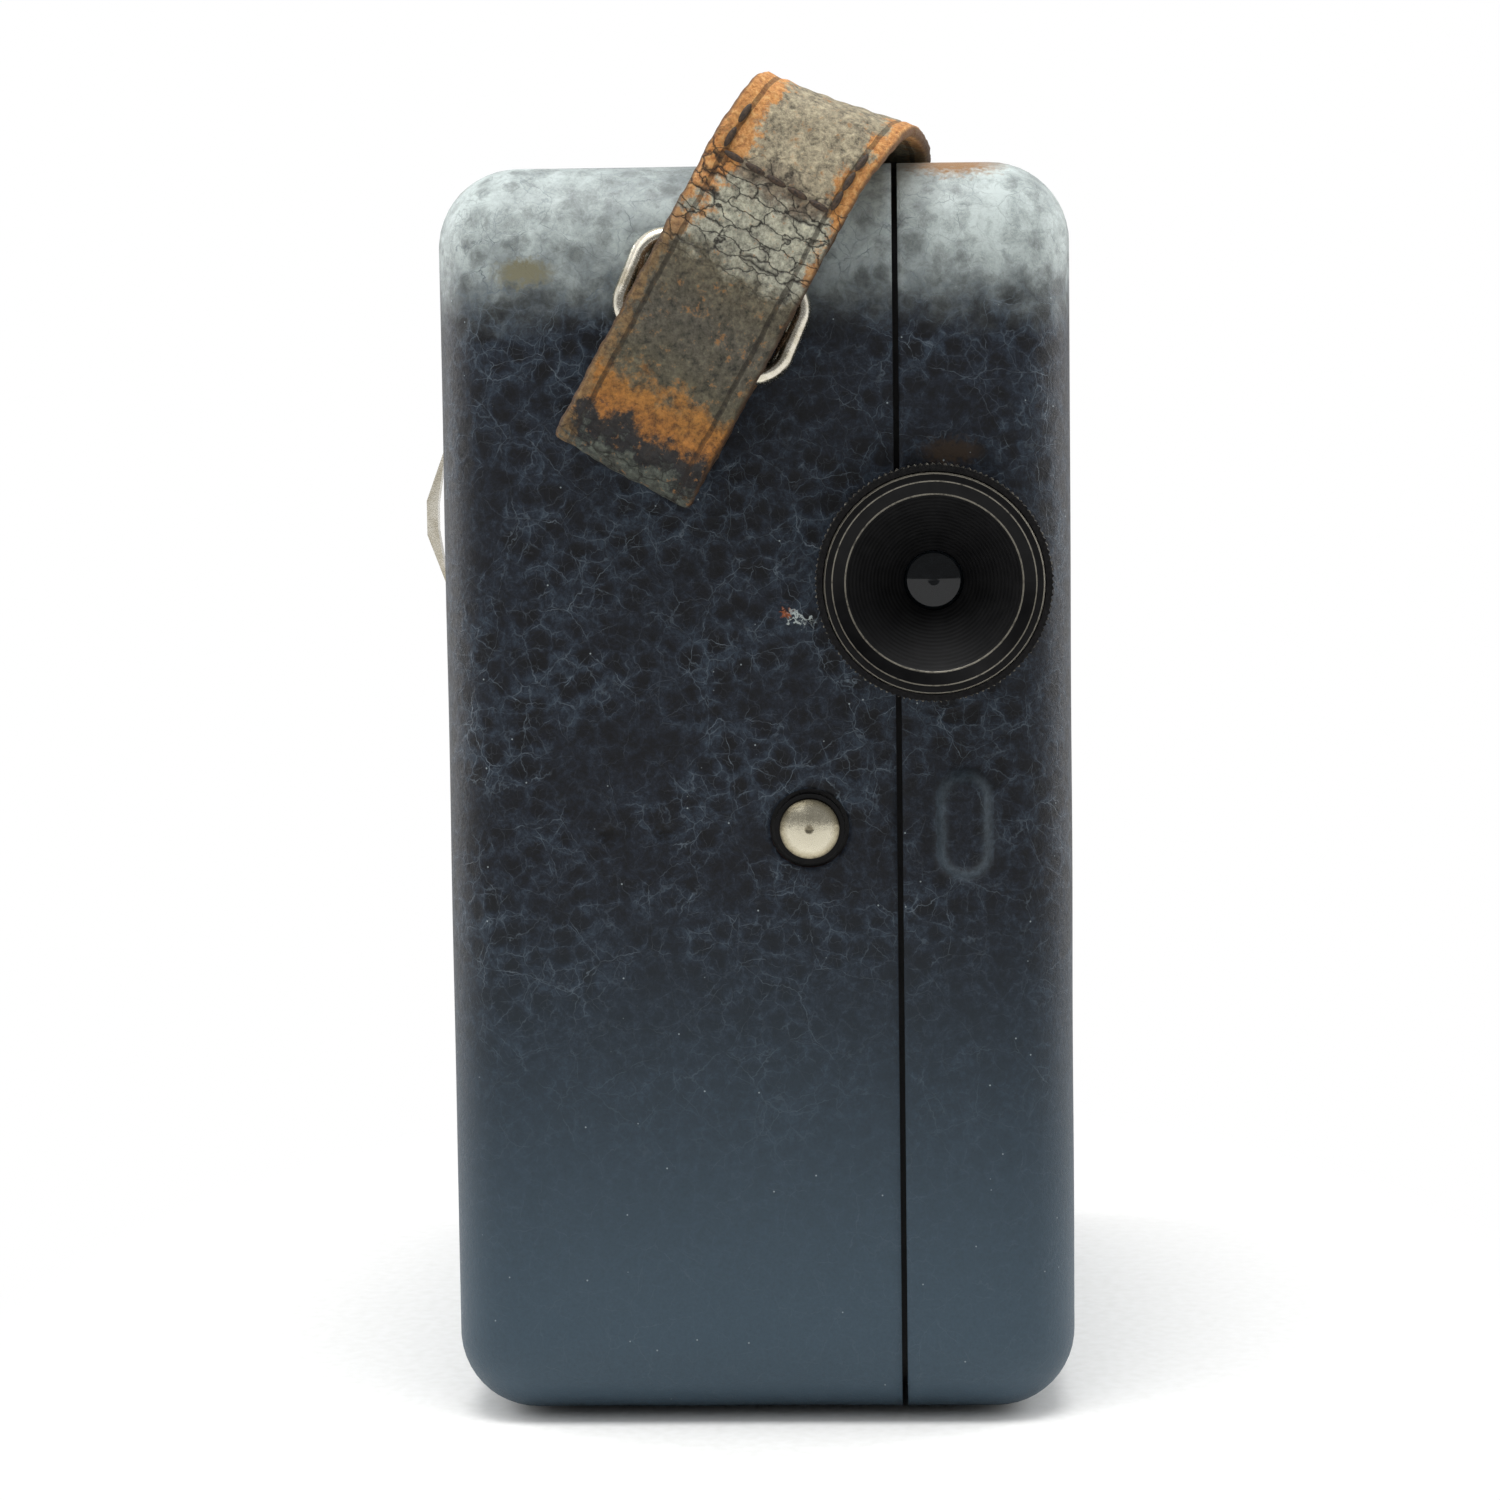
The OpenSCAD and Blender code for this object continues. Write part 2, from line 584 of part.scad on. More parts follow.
rear_glass_r = glass_r + 0.8;
module rear_glass() color([0.6, 0.7, 0.75, 0.4]) lens_axis(board_y + 0.8) intersection() {
  cylinder(r = rear_glass_r, h = 1.8);
  translate([0, 0, -10.2]) sphere(12);
}
// Crescent leaves on studs round the bore, each in its own layer
leaf_pivot_r = lens_bore_r - 0.7;
leaf_outer_r = leaf_pivot_r - 0.45;
leaf_inner_r = glass_r + 0.3;
leaf_layer = leaf_t + 0.06;
leaf_y = board_y - 1.3;
module iris_leaf(i) color("#23262a")
  lens_axis(leaf_y + i * leaf_layer) rotate([0, 0, 72 * i]) linear_extrude(leaf_t) difference() {
    union() {
      difference() {
        circle(leaf_outer_r);
        circle(leaf_inner_r);
        polygon([[0, 0], for (a = [150 : 40 : 350]) polar(20, a)]);
      }
      translate([leaf_pivot_r, 0]) circle(0.6, $fn = 24);
    }
    translate([leaf_pivot_r, 0]) circle(0.35, $fn = 24);
  }
module iris_leaf_1() iris_leaf(0);
module iris_leaf_2() iris_leaf(1);
module iris_leaf_3() iris_leaf(2);
module iris_leaf_4() iris_leaf(3);
module iris_leaf_5() iris_leaf(4);

// Shutter

bevel_back_y = drive_at[0] - miter_r;
cock_y = bevel_back_y - 2.6;
module shutter_shaft() color("#b9bcc0") {
  along_y(board_y + 0.1, [shutter_x, lens_z])
    cylinder(r = shutter_shaft_r, h = bevel_back_y - board_y + miter_r * (1 - miter_small) - 0.1);
  along_y(bevel_back_y - 0.8, [shutter_x, lens_z]) cylinder(r = 1.8, h = 0.8);
  translate([shutter_x, drive_at[0], lens_z]) rotate([90, 0, 0])
    miter_gear(shutter_phase);
}
// The teeth narrow toward the meeting point of the two shafts, which is the local origin
module miter_gear(phase) translate([0, 0, miter_r]) rotate([0, 0, phase]) mirror([0, 0, 1])
  linear_extrude(miter_r * (1 - miter_small), scale = miter_small)
    polygon(miter_points(pinion_teeth, fine_m));
module shutter_disc() color("#202225") difference() {
  union() {
    along_y(shutter_y, [shutter_x, lens_z]) difference() {
      cylinder(r = shutter_r, h = shutter_t, $fn = 96);
      translate([0, 0, -1]) linear_extrude(3) difference() {
        polygon([[0, 0], for (k = [0 : 6]) polar(shutter_r * 2, -shutter_open / 2 + k * shutter_open / 6)]);
        circle(shutter_r * 0.3);
      }
    }
    along_y(shutter_y - 1.5, [shutter_x, lens_z]) cylinder(r = 2.6, h = 3.2);
  }
  along_y(shutter_y - 3, [shutter_x, lens_z]) cylinder(r = shutter_shaft_r, h = 8);
}
// Bracket on the motor plate that carries the rear of the shutter shaft
module shutter_cock() color("#c7b57a") difference() {
  union() {
    translate([motor_in_x, cock_y, lens_z - 4]) cube([shutter_x + 3 - motor_in_x, 1.4, 8]);
    translate([motor_in_x, plate_front, lens_z - 7]) cube([1.4, cock_y + 1.4 - plate_front, 14]);
  }
  along_y(cock_y - 1, [shutter_x, lens_z]) cylinder(r = shutter_shaft_r + run_fit, h = 4);
}

// Film gate and claw

gate_pin_spots = [[lens_x + 5.2, lens_z - 11], [lens_x + 5.2, lens_z + 11]];
module film_gate() color("#d0d2d4") difference() {
  union() {
    translate([main_out_x, gate_y, lens_z - 18]) cube([lens_x + 7 - main_out_x, gate_t, 36]);
    for (z = [lens_z - 18, lens_z + 12])
      translate([main_out_x, gate_y, z]) cube([1.2, 7, 6]);
  }
  translate([lens_x - 4.25, gate_y - 1, lens_z - 3.25]) cube([8.5, 3, 6.5]);
  translate([claw_x - 0.4, gate_y - 1, lens_z - 13.5]) cube([claw_t + 0.8, 3, 6]);
}
pressure_y = gate_y + gate_t + 0.3;
module pressure_plate() color("#c4c6c8") difference() {
  translate([lens_x - 3.6, pressure_y, lens_z - 14]) cube([10.4, 1, 28]);
  for (at = gate_pin_spots) along_y(pressure_y - 1, at) cylinder(r = post_r + run_fit, h = 3);
}
// Bowed leaf that bears on the back of the pressure plate
module pressure_spring() color("#9aa3ad") difference() {
  union() {
    hull() {
      translate([lens_x + 3.2, pressure_y + 3, lens_z - 12.5]) cube([4, 0.3, 3]);
      translate([lens_x + 3.2, pressure_y + 1.1, lens_z - 2]) cube([4, 0.3, 1]);
    }
    hull() {
      translate([lens_x + 3.2, pressure_y + 3, lens_z + 9.5]) cube([4, 0.3, 3]);
      translate([lens_x + 3.2, pressure_y + 1.1, lens_z + 1]) cube([4, 0.3, 1]);
    }
    translate([lens_x + 3.2, pressure_y + 1.1, lens_z - 2]) cube([4, 0.3, 4]);
  }
  for (at = gate_pin_spots) along_y(pressure_y, at) cylinder(r = post_r, h = 5);
}
claw_x = main_out_x + 1.4;
claw_t = 1;
claw_throw = 2;
crank_pin_r = 0.8;
claw_guides = [[drive_at[0], lens_z - 10], [drive_at[0], lens_z + 13]];
module claw_plate() color("#b4b8bc") along_x(claw_x) linear_extrude(claw_t) difference() {
  union() {
    translate([drive_at[0] - 4.4, lens_z - 14]) square([8.8, 31]);
    translate([gate_y + gate_t - 0.6, lens_z - 11]) square([drive_at[0] - gate_y - gate_t - 3, 1]);
  }
  translate([drive_at[0] - crank_reach, lens_z - crank_reach - claw_throw])
    square([2 * crank_reach, 2 * (crank_reach + claw_throw)]);
  for (at = claw_guides)
    translate([at[0] - post_r - 0.1, at[1] - post_r - claw_throw - 0.1])
      square([2 * post_r + 0.2, 2 * (post_r + claw_throw + 0.1)]);
}
crank_reach = claw_throw + crank_pin_r + 0.2;

// Stepped posts that pieces turn or slide on
module post(x, length, at, head) along_x(x, at) {
  translate([0, 0, head < 0 ? -0.5 : 0]) cylinder(r = post_r, h = length + 0.5);
  translate([0, 0, head < 0 ? -0.5 : length]) cylinder(r = post_r + 0.7, h = 0.5);
}
module shoulder_posts() color("#9fa6ad") {
  // Click, on the outside of the motor plate
  post(ratchet_x - 0.2, motor_x - ratchet_x + 0.2, click_pivot, -1);
  // Release lever, on the inside of the main plate
  post(lever_x - 0.2, main_x - lever_x + 0.2, lever_pivot, -1);
  // Claw plate guides, on the outside of the main plate
  for (at = claw_guides) post(main_out_x, claw_x + claw_t - main_out_x + 0.2, at, 1);
  // Pins of the pressure plate, on the film gate
  for (at = gate_pin_spots) {
    along_y(gate_y + gate_t, at) cylinder(r = post_r, h = pressure_y + 3.8 - gate_y - gate_t);
    along_y(pressure_y + 3.3, at) cylinder(r = post_r + 0.6, h = 0.5);
  }
}

// Release

cap_y = front_y - button_out;
cap_back_y = front_y + 0.4;
guide_back_y = board_y;
module release_button() color("#dcd8c8") {
  along_y(cap_y, button_at) intersection() {
    cylinder(r = button_r, h = cap_back_y - cap_y);
    translate([0, 0, 6.2]) sphere(6.2);
  }
  along_y(cap_back_y - 0.5, button_at) cylinder(r = stem_r, h = stem_end_y - cap_back_y + 0.5);
}
module button_guide() color("#2a2a2a") along_y(front_y - 0.2, button_at) difference() {
  union() {
    cylinder(r = button_guide_r(), h = guide_back_y - front_y + 0.2);
    translate([0, 0, wall_t + 0.2]) cylinder(r = button_guide_r() + 1.2, h = 0.7);
  }
  translate([0, 0, -1]) cylinder(r = guide_r, h = guide_back_y - front_y + 0.6);
  cylinder(r = stem_r + run_fit, h = 10);
}
// Helical wire swept round the stem
coil_turns = 4;
module button_spring() color("#9aa3ad") {
  wire = 0.17;
  coil_r = (button_r + stem_r) / 2;
  y0 = cap_back_y + wire + 0.05;
  y1 = guide_back_y - 0.6 - wire - 0.05;
  rings = coil_turns * 16;
  points = [
    for (i = [0 : rings])
      let (a = 360 * coil_turns * i / rings)
      for (k = [0 : 5])
        let (r = coil_r + wire * cos(60 * k))
        [button_at[0] + r * cos(a), y0 + (y1 - y0) * i / rings + wire * sin(60 * k), button_at[1] + r * sin(a)]
  ];
  polyhedron(points, concat(
    [[for (k = [5 : -1 : 0]) k]],
    [[for (k = [0 : 5]) rings * 6 + k]],
    [for (i = [0 : rings - 1])
      for (k = [0 : 5])
        let (a = i * 6 + k, b = i * 6 + (k + 1) % 6)
        each [[a, b, a + 6], [b, b + 6, a + 6]]]
  ));
}
// Bell crank: the upper arm meets the button's stem, the rear arm holds a shoe under the governor
shoe_r = 1.2;
governor_disc_r = 6;
shoe_at = [governor_at[0] - 1, governor_at[1] - governor_disc_r - shoe_r - pass_gap];
module release_lever() color("#b4b8bc") {
  along_x(lever_x) linear_extrude(lever_t) difference() {
    union() {
      translate(lever_pivot) circle(2.2);
      polygon([
        lever_pivot + [-2, 0], [stem_end_y + 0.6, button_at[1] - 1.4], [stem_end_y + 0.1, button_at[1] + 0.2],
        [stem_end_y + 1.2, button_at[1] + 0.2], lever_pivot + [2, 1]
      ]);
      polygon([lever_pivot + [0, 2], shoe_at + [0, 1.1], shoe_at + [0, -1.1], lever_pivot + [0, -2]]);
      translate(shoe_at) circle(shoe_r);
    }
    translate(lever_pivot) circle(post_r + run_fit);
  }
  along_x(governor_disc_x, shoe_at) cylinder(r = shoe_r, h = lever_x - governor_disc_x);
}

// Trains. Every arbor runs from the motor plate to the main plate
module spur(x, at, n, m, phase, thick)
  along_x(x, at) rotate([0, 0, phase]) linear_extrude(thick) polygon(gear_points(n, m));

module great_wheel() color("#c9a94e") difference() {
  spur(great_x, barrel_at, great_teeth, great_m, great_phase, great_t);
  along_x(great_x - 1, barrel_at) cylinder(r = arbor_r + run_fit, h = great_t + 2);
}
drum_x = great_x - drum_l;
module barrel_drum() color("#c9a94e") along_x(drum_x, barrel_at) difference() {
  cylinder(r = drum_r, h = drum_l, $fn = 96);
  translate([0, 0, 1]) cylinder(r = drum_r - 1, h = drum_l, $fn = 96);
  translate([0, 0, -1]) cylinder(r = arbor_r + run_fit, h = 4);
}
// Steel strip wound from the arbor to the drum wall
core_r = 4;
module mainspring() color("#7d8da3") {
  strip = 0.5;
  r0 = core_r + pass_gap;
  r1 = drum_r - 1 - strip;
  steps = spring_turns * 24;
  radii = [for (i = [0 : steps]) r0 + (r1 - r0) * min(1, i / (steps - 12))];
  along_x(drum_x + 1.4, barrel_at) linear_extrude(drum_l - 1.8) polygon(concat(
    [for (i = [0 : steps]) polar(radii[i], 15 * i)],
    [for (i = [steps : -1 : 0]) polar(radii[i] + strip, 15 * i)]
  ));
}
module second_arbor() color("#b9bcc0") {
  along_x(motor_x + 0.1, second_at) cylinder(r = pivot_r, h = 2 * plate_t);
  along_x(motor_in_x + 0.1, second_at) cylinder(r = 1.6, h = mesh_x - motor_in_x - 0.1);
  along_x(great_x, second_at) cylinder(r = arbor_thin_r, h = main_out_x - great_x + 1.6);
  spur(great_x - 0.3, second_at, pinion_teeth, great_m, second_phase, great_t + 0.6);
  difference() {
    spur(mesh_x, second_at, wheel_teeth, fine_m, second_phase, mesh_t);
    for (a = [0 : 90 : 270])
      along_x(mesh_x - 1, second_at) rotate([0, 0, a]) translate([5, 0]) cylinder(r = 2, h = 4);
  }
}
module drive_arbor() color("#b9bcc0") {
  along_x(motor_x + 0.1, drive_at) cylinder(r = pivot_r, h = main_x - motor_x);
  along_x(shutter_x + miter_r * miter_small, drive_at) cylinder(r = arbor_thin_r, h = crank_x + 0.4 - shutter_x - miter_r * miter_small);
  translate([shutter_x, drive_at[0], drive_at[1]]) rotate([90, 0, 90]) miter_gear(miter_phase);
  spur(mesh_x - 0.2, drive_at, pinion_teeth, fine_m, drive_phase, mesh_t + 0.4);
  along_x(crank_x, drive_at) {
    cylinder(r = claw_throw + crank_pin_r + 0.6, h = 0.8);
    translate([claw_throw, 0]) cylinder(r = crank_pin_r, h = claw_x + claw_t + 0.3 - crank_x);
  }
}
crank_x = main_out_x + 0.3;
governor_disc_x = mesh_x - 5.4;
module governor_arbor() color("#b9bcc0") {
  along_x(motor_x + 0.1, governor_at) cylinder(r = pivot_r, h = main_out_x - motor_x - 0.2);
  along_x(governor_disc_x - 7, governor_at) cylinder(r = 1.3, h = mesh_x - governor_disc_x + 8.4);
  spur(mesh_x - 0.1, governor_at, pinion_teeth, fine_m, governor_phase, mesh_t + 0.2);
  along_x(governor_disc_x, governor_at) cylinder(r = governor_disc_r, h = 1.4);
  along_x(governor_disc_x - 7, governor_at) cylinder(r = 2.4, h = 1);
  for (a = [0, 120, 240])
    along_x(governor_disc_x - 7, governor_at) rotate([0, 0, a]) {
      translate([1.9, -1]) cube([0.4, 2, 7.2]);
      translate([2.2, -1.4, 2.4]) cube([1.8, 2.8, 2.2]);
    }
}

// Winding

module winding_arbor() color("#b9bcc0") {
  along_x(key_disc_x, barrel_at) cylinder(r = arbor_r, h = great_x + great_t - key_disc_x);
  along_x(great_x, barrel_at) cylinder(r = barrel_pivot_r, h = main_out_x - great_x - 0.1);
  along_x(drum_x + 1.3, barrel_at) cylinder(r = core_r, h = drum_l - 1.6);
}
module ratchet_wheel() color("#b4a46a") difference() {
  along_x(ratchet_x, barrel_at) linear_extrude(ratchet_t) polygon([
    for (i = [0 : ratchet_teeth - 1])
      each [
        polar(ratchet_r - 1, 360 / ratchet_teeth * i),
        polar(ratchet_r, 360 / ratchet_teeth * i + 0.5),
        polar(ratchet_r - 0.4, 360 / ratchet_teeth * (i + 0.5))
      ]
  ]);
  along_x(ratchet_x - 1, barrel_at) cylinder(r = arbor_r, h = 4);
}
// Drawn round the arbor and turned to its place
module click_side(x) along_x(x, barrel_at) rotate([0, 0, click_turn]) children();
module click() color("#8f99a6") click_side(ratchet_x) linear_extrude(ratchet_t) difference() {
  union() {
    translate(click_from) circle(1.8);
    polygon([
      polar(ratchet_r - 0.75, click_angle - 1.5), polar(ratchet_r + 0.45, click_angle - 17),
      click_from + [0.9, -1.55], click_from + [-0.9, 1.55], polar(ratchet_r + 1, click_angle - 1.5)
    ]);
  }
  translate(click_from) circle(post_r + run_fit);
}
// Leaf that presses the click down, from a foot on the motor plate
module click_spring() color("#9aa3ad") {
  click_side(ratchet_x + 0.4) linear_extrude(0.8) polygon([
    click_from + [-7.5, 8], click_from + [-4.1, -1.5], click_from + [-3.8, -1.3], click_from + [-7, 8.4]
  ]);
  click_side(ratchet_x + 0.4) linear_extrude(motor_x - ratchet_x - 0.4)
    polygon([click_from + [-8.5, 8], click_from + [-6, 8], click_from + [-6, 10], click_from + [-8.5, 10]]);
}
module key_bush() color("#5a2f22") along_x(left_x - 0.5, barrel_at) difference() {
  union() {
    cylinder(r = key_bush_r(), h = wall_t + 1.3);
    cylinder(r = key_bush_r() + 2.2, h = 0.5);
    translate([0, 0, wall_t + 0.5]) cylinder(r = key_bush_r() + 1.4, h = 0.8);
  }
  translate([0, 0, -1]) cylinder(r = arbor_r + run_fit, h = 6);
}
ear_t = 1;
ear_r = 0.95;
ear_in = key_span / 2 - bow_t - 0.2 - ear_t;
bow_pin_r = 0.6;
module key_disc() color("#3d3b38") difference() {
  union() {
    along_x(key_disc_x, barrel_at) cylinder(r = key_disc_r, h = key_disc_t);
    for (z = [ear_in, -ear_in - ear_t]) {
      translate([bow_axis_x, barrel_at[0], barrel_at[1] + z]) cylinder(r = ear_r, h = ear_t);
      translate([bow_axis_x, barrel_at[0] - ear_r, barrel_at[1] + z])
        cube([key_disc_x - bow_axis_x + eps, 2 * ear_r, ear_t]);
    }
  }
  along_x(key_disc_x - 1, barrel_at) cylinder(r = arbor_r, h = 4);
  translate([bow_axis_x, barrel_at[0], barrel_at[1] - key_span])
    cylinder(r = bow_pin_r + run_fit, h = 2 * key_span);
}
// Arched bow on two short pins, drawn as half its outline in height and distance to the case
module key_bow() color("#cbc6b6") {
  half = key_span / 2;
  arch = ear_r + 0.25;
  outer = [[half, 0.85], [half, 0.3 - arch], [1.7, -arch - 1.8]];
  inner = [[1.3, -arch - 0.7], [half - bow_t, -arch + 0.1], [half - bow_t, 0.85]];
  side = concat(outer, [[0, -arch - 1.8], [0, -arch - 0.7]], inner);
  translate([bow_axis_x, barrel_at[0] + bow_w / 2, barrel_at[1]]) rotate([90, 0, 0]) linear_extrude(bow_w)
    for (s = [-1, 1]) polygon([for (p = side) [p[1], s * p[0]]]);
  for (z = [ear_in, -half + eps])
    translate([bow_axis_x, barrel_at[0], barrel_at[1] + z]) cylinder(r = bow_pin_r, h = half - ear_in - eps);
}

// Door

boss_at = [lens_x + 2.5, 53.2];
boss_half = [2.5, 4.8];
boss_rise = 1.2;
module boss(grow, rise) along_y(front_y - rise, boss_at) linear_extrude(rise + 2) {
  for (z = [-1, 1]) translate([0, z * (boss_half[1] - boss_half[0])]) circle(boss_half[0] + grow);
  square([2 * (boss_half[0] + grow), 2 * (boss_half[1] - boss_half[0])], center = true);
}
module door_leather() color("#2b333c") {
  difference() {
    intersection() {
      block(0);
      door_side(door_edge_x);
    }
    block(leather_t);
    lens_notch();
    boss(-0.5, 0);
    rivet_holes(1);
  }
  difference() {
    boss(0, boss_rise);
    boss(-leather_t, boss_rise - leather_t);
    translate([boss_at[0] - 5, front_y + 0.2, boss_at[1] - 8]) cube([10, 4, 16]);
  }
}
module door_shell() color("#8d9196") {
  difference() {
    intersection() {
      block(leather_t);
      door_side(door_edge_x);
    }
    block(wall_t);
    lens_notch();
    rivet_holes(1);
  }
  difference() {
    boss(-leather_t, boss_rise - leather_t);
    translate([boss_at[0] - 5, front_y + leather_t + 0.2, boss_at[1] - 8]) cube([10, 4, 16]);
  }
}
// Spring grip behind the boss that holds on the light trap's lip
module door_catch() color("#9aa3ad") {
  grip_y = front_y + wall_t + trap_t + pass_gap + 0.2;
  grip_h = 4.8;
  translate([seam_x + 0.9, grip_y, boss_at[1] - grip_h / 2]) cube([4.7, 0.4, grip_h]);
  translate([seam_x + 4.6, front_y + wall_t, boss_at[1] - grip_h / 2]) cube([1, grip_y + 0.4 - front_y - wall_t, grip_h]);
  translate([seam_x + 4.6, front_y + wall_t, boss_at[1] - grip_h / 2]) cube([2.6, 0.4, grip_h]);
}
// Bowed leaf on the door that steadies the film charger
module charger_spring() color("#9aa3ad") {
  inner_x = right_x - wall_t;
  translate([inner_x - 0.4, 14, 42]) cube([0.4, 8, 10]);
  hull() {
    translate([inner_x - 0.4, 14, 52 - eps]) cube([0.4, 8, eps]);
    translate([inner_x - 1.2, 14, 60]) cube([0.4, 8, eps]);
  }
  hull() {
    translate([inner_x - 1.2, 14, 60]) cube([0.4, 8, eps]);
    translate([inner_x - 0.5, 14, 68]) cube([0.4, 8, eps]);
  }
}

case_leather();
case_shell();
light_trap();
base_plate();
base_screws();
tripod_bush();
case_hinge_leaf();
hinge_pin();
hinge_screws();
strap_lugs();
strap_rings();
strap();
main_plate();
motor_plate();
plate_pillars();
plate_screws();
plate_feet();
lens_board();
lens_mount();
front_bezel();
front_glass();
rear_cell();
rear_glass();
shutter_cock();
film_gate();
pressure_spring();
shoulder_posts();
button_guide();
button_spring();
key_bush();
click_spring();
door_leather();
door_shell();
door_hinge_leaf();
door_catch();
charger_spring();
winding_arbor();
ratchet_wheel();
key_disc();
key_bow();
click();
barrel_drum();
great_wheel();
mainspring();
second_arbor();
drive_arbor();
governor_arbor();
shutter_shaft();
shutter_disc();
claw_plate();
release_button();
release_lever();
iris_ring();
pressure_plate();
iris_leaf_1();
iris_leaf_2();
iris_leaf_3();
iris_leaf_4();
iris_leaf_5();
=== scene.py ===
import math

import bmesh
import bpy
import numpy as np
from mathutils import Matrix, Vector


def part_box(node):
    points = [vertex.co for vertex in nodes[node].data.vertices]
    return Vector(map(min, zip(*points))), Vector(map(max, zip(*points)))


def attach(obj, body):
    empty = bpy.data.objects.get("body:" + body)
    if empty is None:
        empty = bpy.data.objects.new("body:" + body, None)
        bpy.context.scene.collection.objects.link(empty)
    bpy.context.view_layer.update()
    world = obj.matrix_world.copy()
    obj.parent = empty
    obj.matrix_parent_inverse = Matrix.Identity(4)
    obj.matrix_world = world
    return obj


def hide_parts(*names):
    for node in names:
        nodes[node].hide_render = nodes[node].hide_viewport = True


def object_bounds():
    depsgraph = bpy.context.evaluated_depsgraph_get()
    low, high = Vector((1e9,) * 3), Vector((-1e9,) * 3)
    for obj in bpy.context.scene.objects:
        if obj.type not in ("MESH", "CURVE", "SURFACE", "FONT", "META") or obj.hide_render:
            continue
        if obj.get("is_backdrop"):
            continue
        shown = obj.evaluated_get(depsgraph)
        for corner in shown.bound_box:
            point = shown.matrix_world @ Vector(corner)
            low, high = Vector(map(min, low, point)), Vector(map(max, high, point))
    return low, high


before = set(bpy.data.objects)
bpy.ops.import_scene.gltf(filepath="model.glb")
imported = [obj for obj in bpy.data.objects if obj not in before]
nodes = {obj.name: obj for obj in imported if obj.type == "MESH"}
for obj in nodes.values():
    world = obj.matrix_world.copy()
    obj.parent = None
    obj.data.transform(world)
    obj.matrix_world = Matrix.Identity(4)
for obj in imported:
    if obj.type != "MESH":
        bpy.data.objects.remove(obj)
cad_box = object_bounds()
MM = 0.001

# Studio: a pale floor under an open white surround that is dimmer on the camera's side,
# a long soft box close over the top and a tall one at each side. Lamps are plain white.


def linear(hex_colour):
    """One sRGB hex colour as linear RGBA: each channel through the sRGB curve."""
    s = np.array([int(hex_colour[i : i + 2], 16) for i in (1, 3, 5)]) / 255
    return (*np.where(s <= 0.04045, s / 12.92, ((s + 0.055) / 1.055) ** 2.4), 1.0)


def add(tree, kind, inputs=(), out=0, ramp=(), **settings):
    """Adds one shader node with its settings. inputs maps a socket to a constant or to the
    output that feeds it; ramp gives a colour ramp's stops. Returns the output named by out."""
    node = tree.nodes.new("ShaderNode" + kind)
    for key, value in settings.items():
        setattr(node, key, value)
    stops = node.color_ramp.elements if ramp else ()
    while len(stops) < len(ramp):
        stops.new(0.5)
    for stop, (at, colour) in zip(stops, ramp):
        stop.position, stop.color = at, linear(colour)
    for key, value in dict(inputs).items():
        if isinstance(value, bpy.types.NodeSocket):
            tree.links.new(value, node.inputs[key])
        else:
            node.inputs[key].default_value = value
    return node.outputs[out] if node.outputs else node


world = bpy.data.worlds.new("studio_surround")
bpy.context.scene.world = world
world.use_nodes = True
tree = world.node_tree
tree.nodes.clear()
looking = add(tree, "TexCoord", out="Generated")
toward = add(tree, "SeparateXYZ", {0: looking}, out="Y")
room = add(tree, "MapRange", {0: toward, 1: -0.75, 2: -0.15, 3: 0.2, 4: 0.85}, interpolation_type="SMOOTHSTEP")
seen = add(tree, "LightPath", out="Is Camera Ray")
level = add(tree, "Mix", {0: seen, 2: room, 3: 1.0}, data_type="FLOAT")
surround = add(tree, "Background", {"Color": (1, 1, 1, 1), "Strength": level})
add(tree, "OutputWorld", {"Surface": surround})

bpy.context.scene.view_settings.view_transform = "Standard"


def soft_box(name, at, aim, width, height, radiance):
    """Area lamp of the given radiance: power is radiance times pi times its area."""
    lamp = bpy.data.lights.new(name, "AREA")
    lamp.shape, lamp.size, lamp.size_y = "RECTANGLE", width, height
    lamp.energy = radiance * math.pi * width * height
    holder = bpy.data.objects.new(name, lamp)
    bpy.context.scene.collection.objects.link(holder)
    holder.location = at
    facing = np.array(aim, float) - np.array(at, float)
    holder.rotation_euler = Vector(facing).to_track_quat("-Z", "Y").to_euler()


soft_box("box_over", (0, -0.12, 0.42), (0, -0.03, 0.1), 0.3, 0.14, 9)
for way in (-1, 1):
    soft_box(f"box_side{way:+d}", (way * 0.34, 0.14, 0.12), (way * 0.02, 0, 0.06), 0.08, 0.42, 7)
soft_box("box_fill", (-0.3, -0.5, 0.6), (0, 0, 0.06), 0.5, 0.5, 1.0)

EYE = np.array([12.772, -375, 91.08]) * MM
pitch, yaw, roll = np.radians([5.402, -2.318, -0.753])
ahead = np.array([math.sin(yaw) * math.cos(pitch), math.cos(yaw) * math.cos(pitch), -math.sin(pitch)])
level_right = np.array([math.cos(yaw), -math.sin(yaw), 0])
level_up = np.cross(level_right, ahead)
right = level_right * math.cos(roll) + level_up * math.sin(roll)
up = level_up * math.cos(roll) - level_right * math.sin(roll)
camera = bpy.data.objects.new("camera", bpy.data.cameras.new("camera"))
bpy.context.scene.collection.objects.link(camera)
camera.data.lens, camera.data.sensor_width = 92.1, 36
camera.data.clip_start = 0.01
camera.matrix_world = Matrix([[*row] for row in np.column_stack([right, up, -ahead, EYE])] + [[0, 0, 0, 1]])
bpy.context.scene.camera = camera


def new_piece(name, points, faces, material, smooth=True):
    """Puts arrays of points (metres) and faces into a mesh with the material, smooth shaded unless told not, and links
    it to the scene.
    """
    mesh = bpy.data.meshes.new(name)
    mesh.from_pydata(np.asarray(points, float).reshape(-1, 3).tolist(), [], [list(f) for f in faces])
    mesh.materials.append(material)
    mesh.polygons.foreach_set("use_smooth", [smooth] * len(mesh.polygons))
    piece = bpy.data.objects.new(name, mesh)
    bpy.context.scene.collection.objects.link(piece)
    return piece


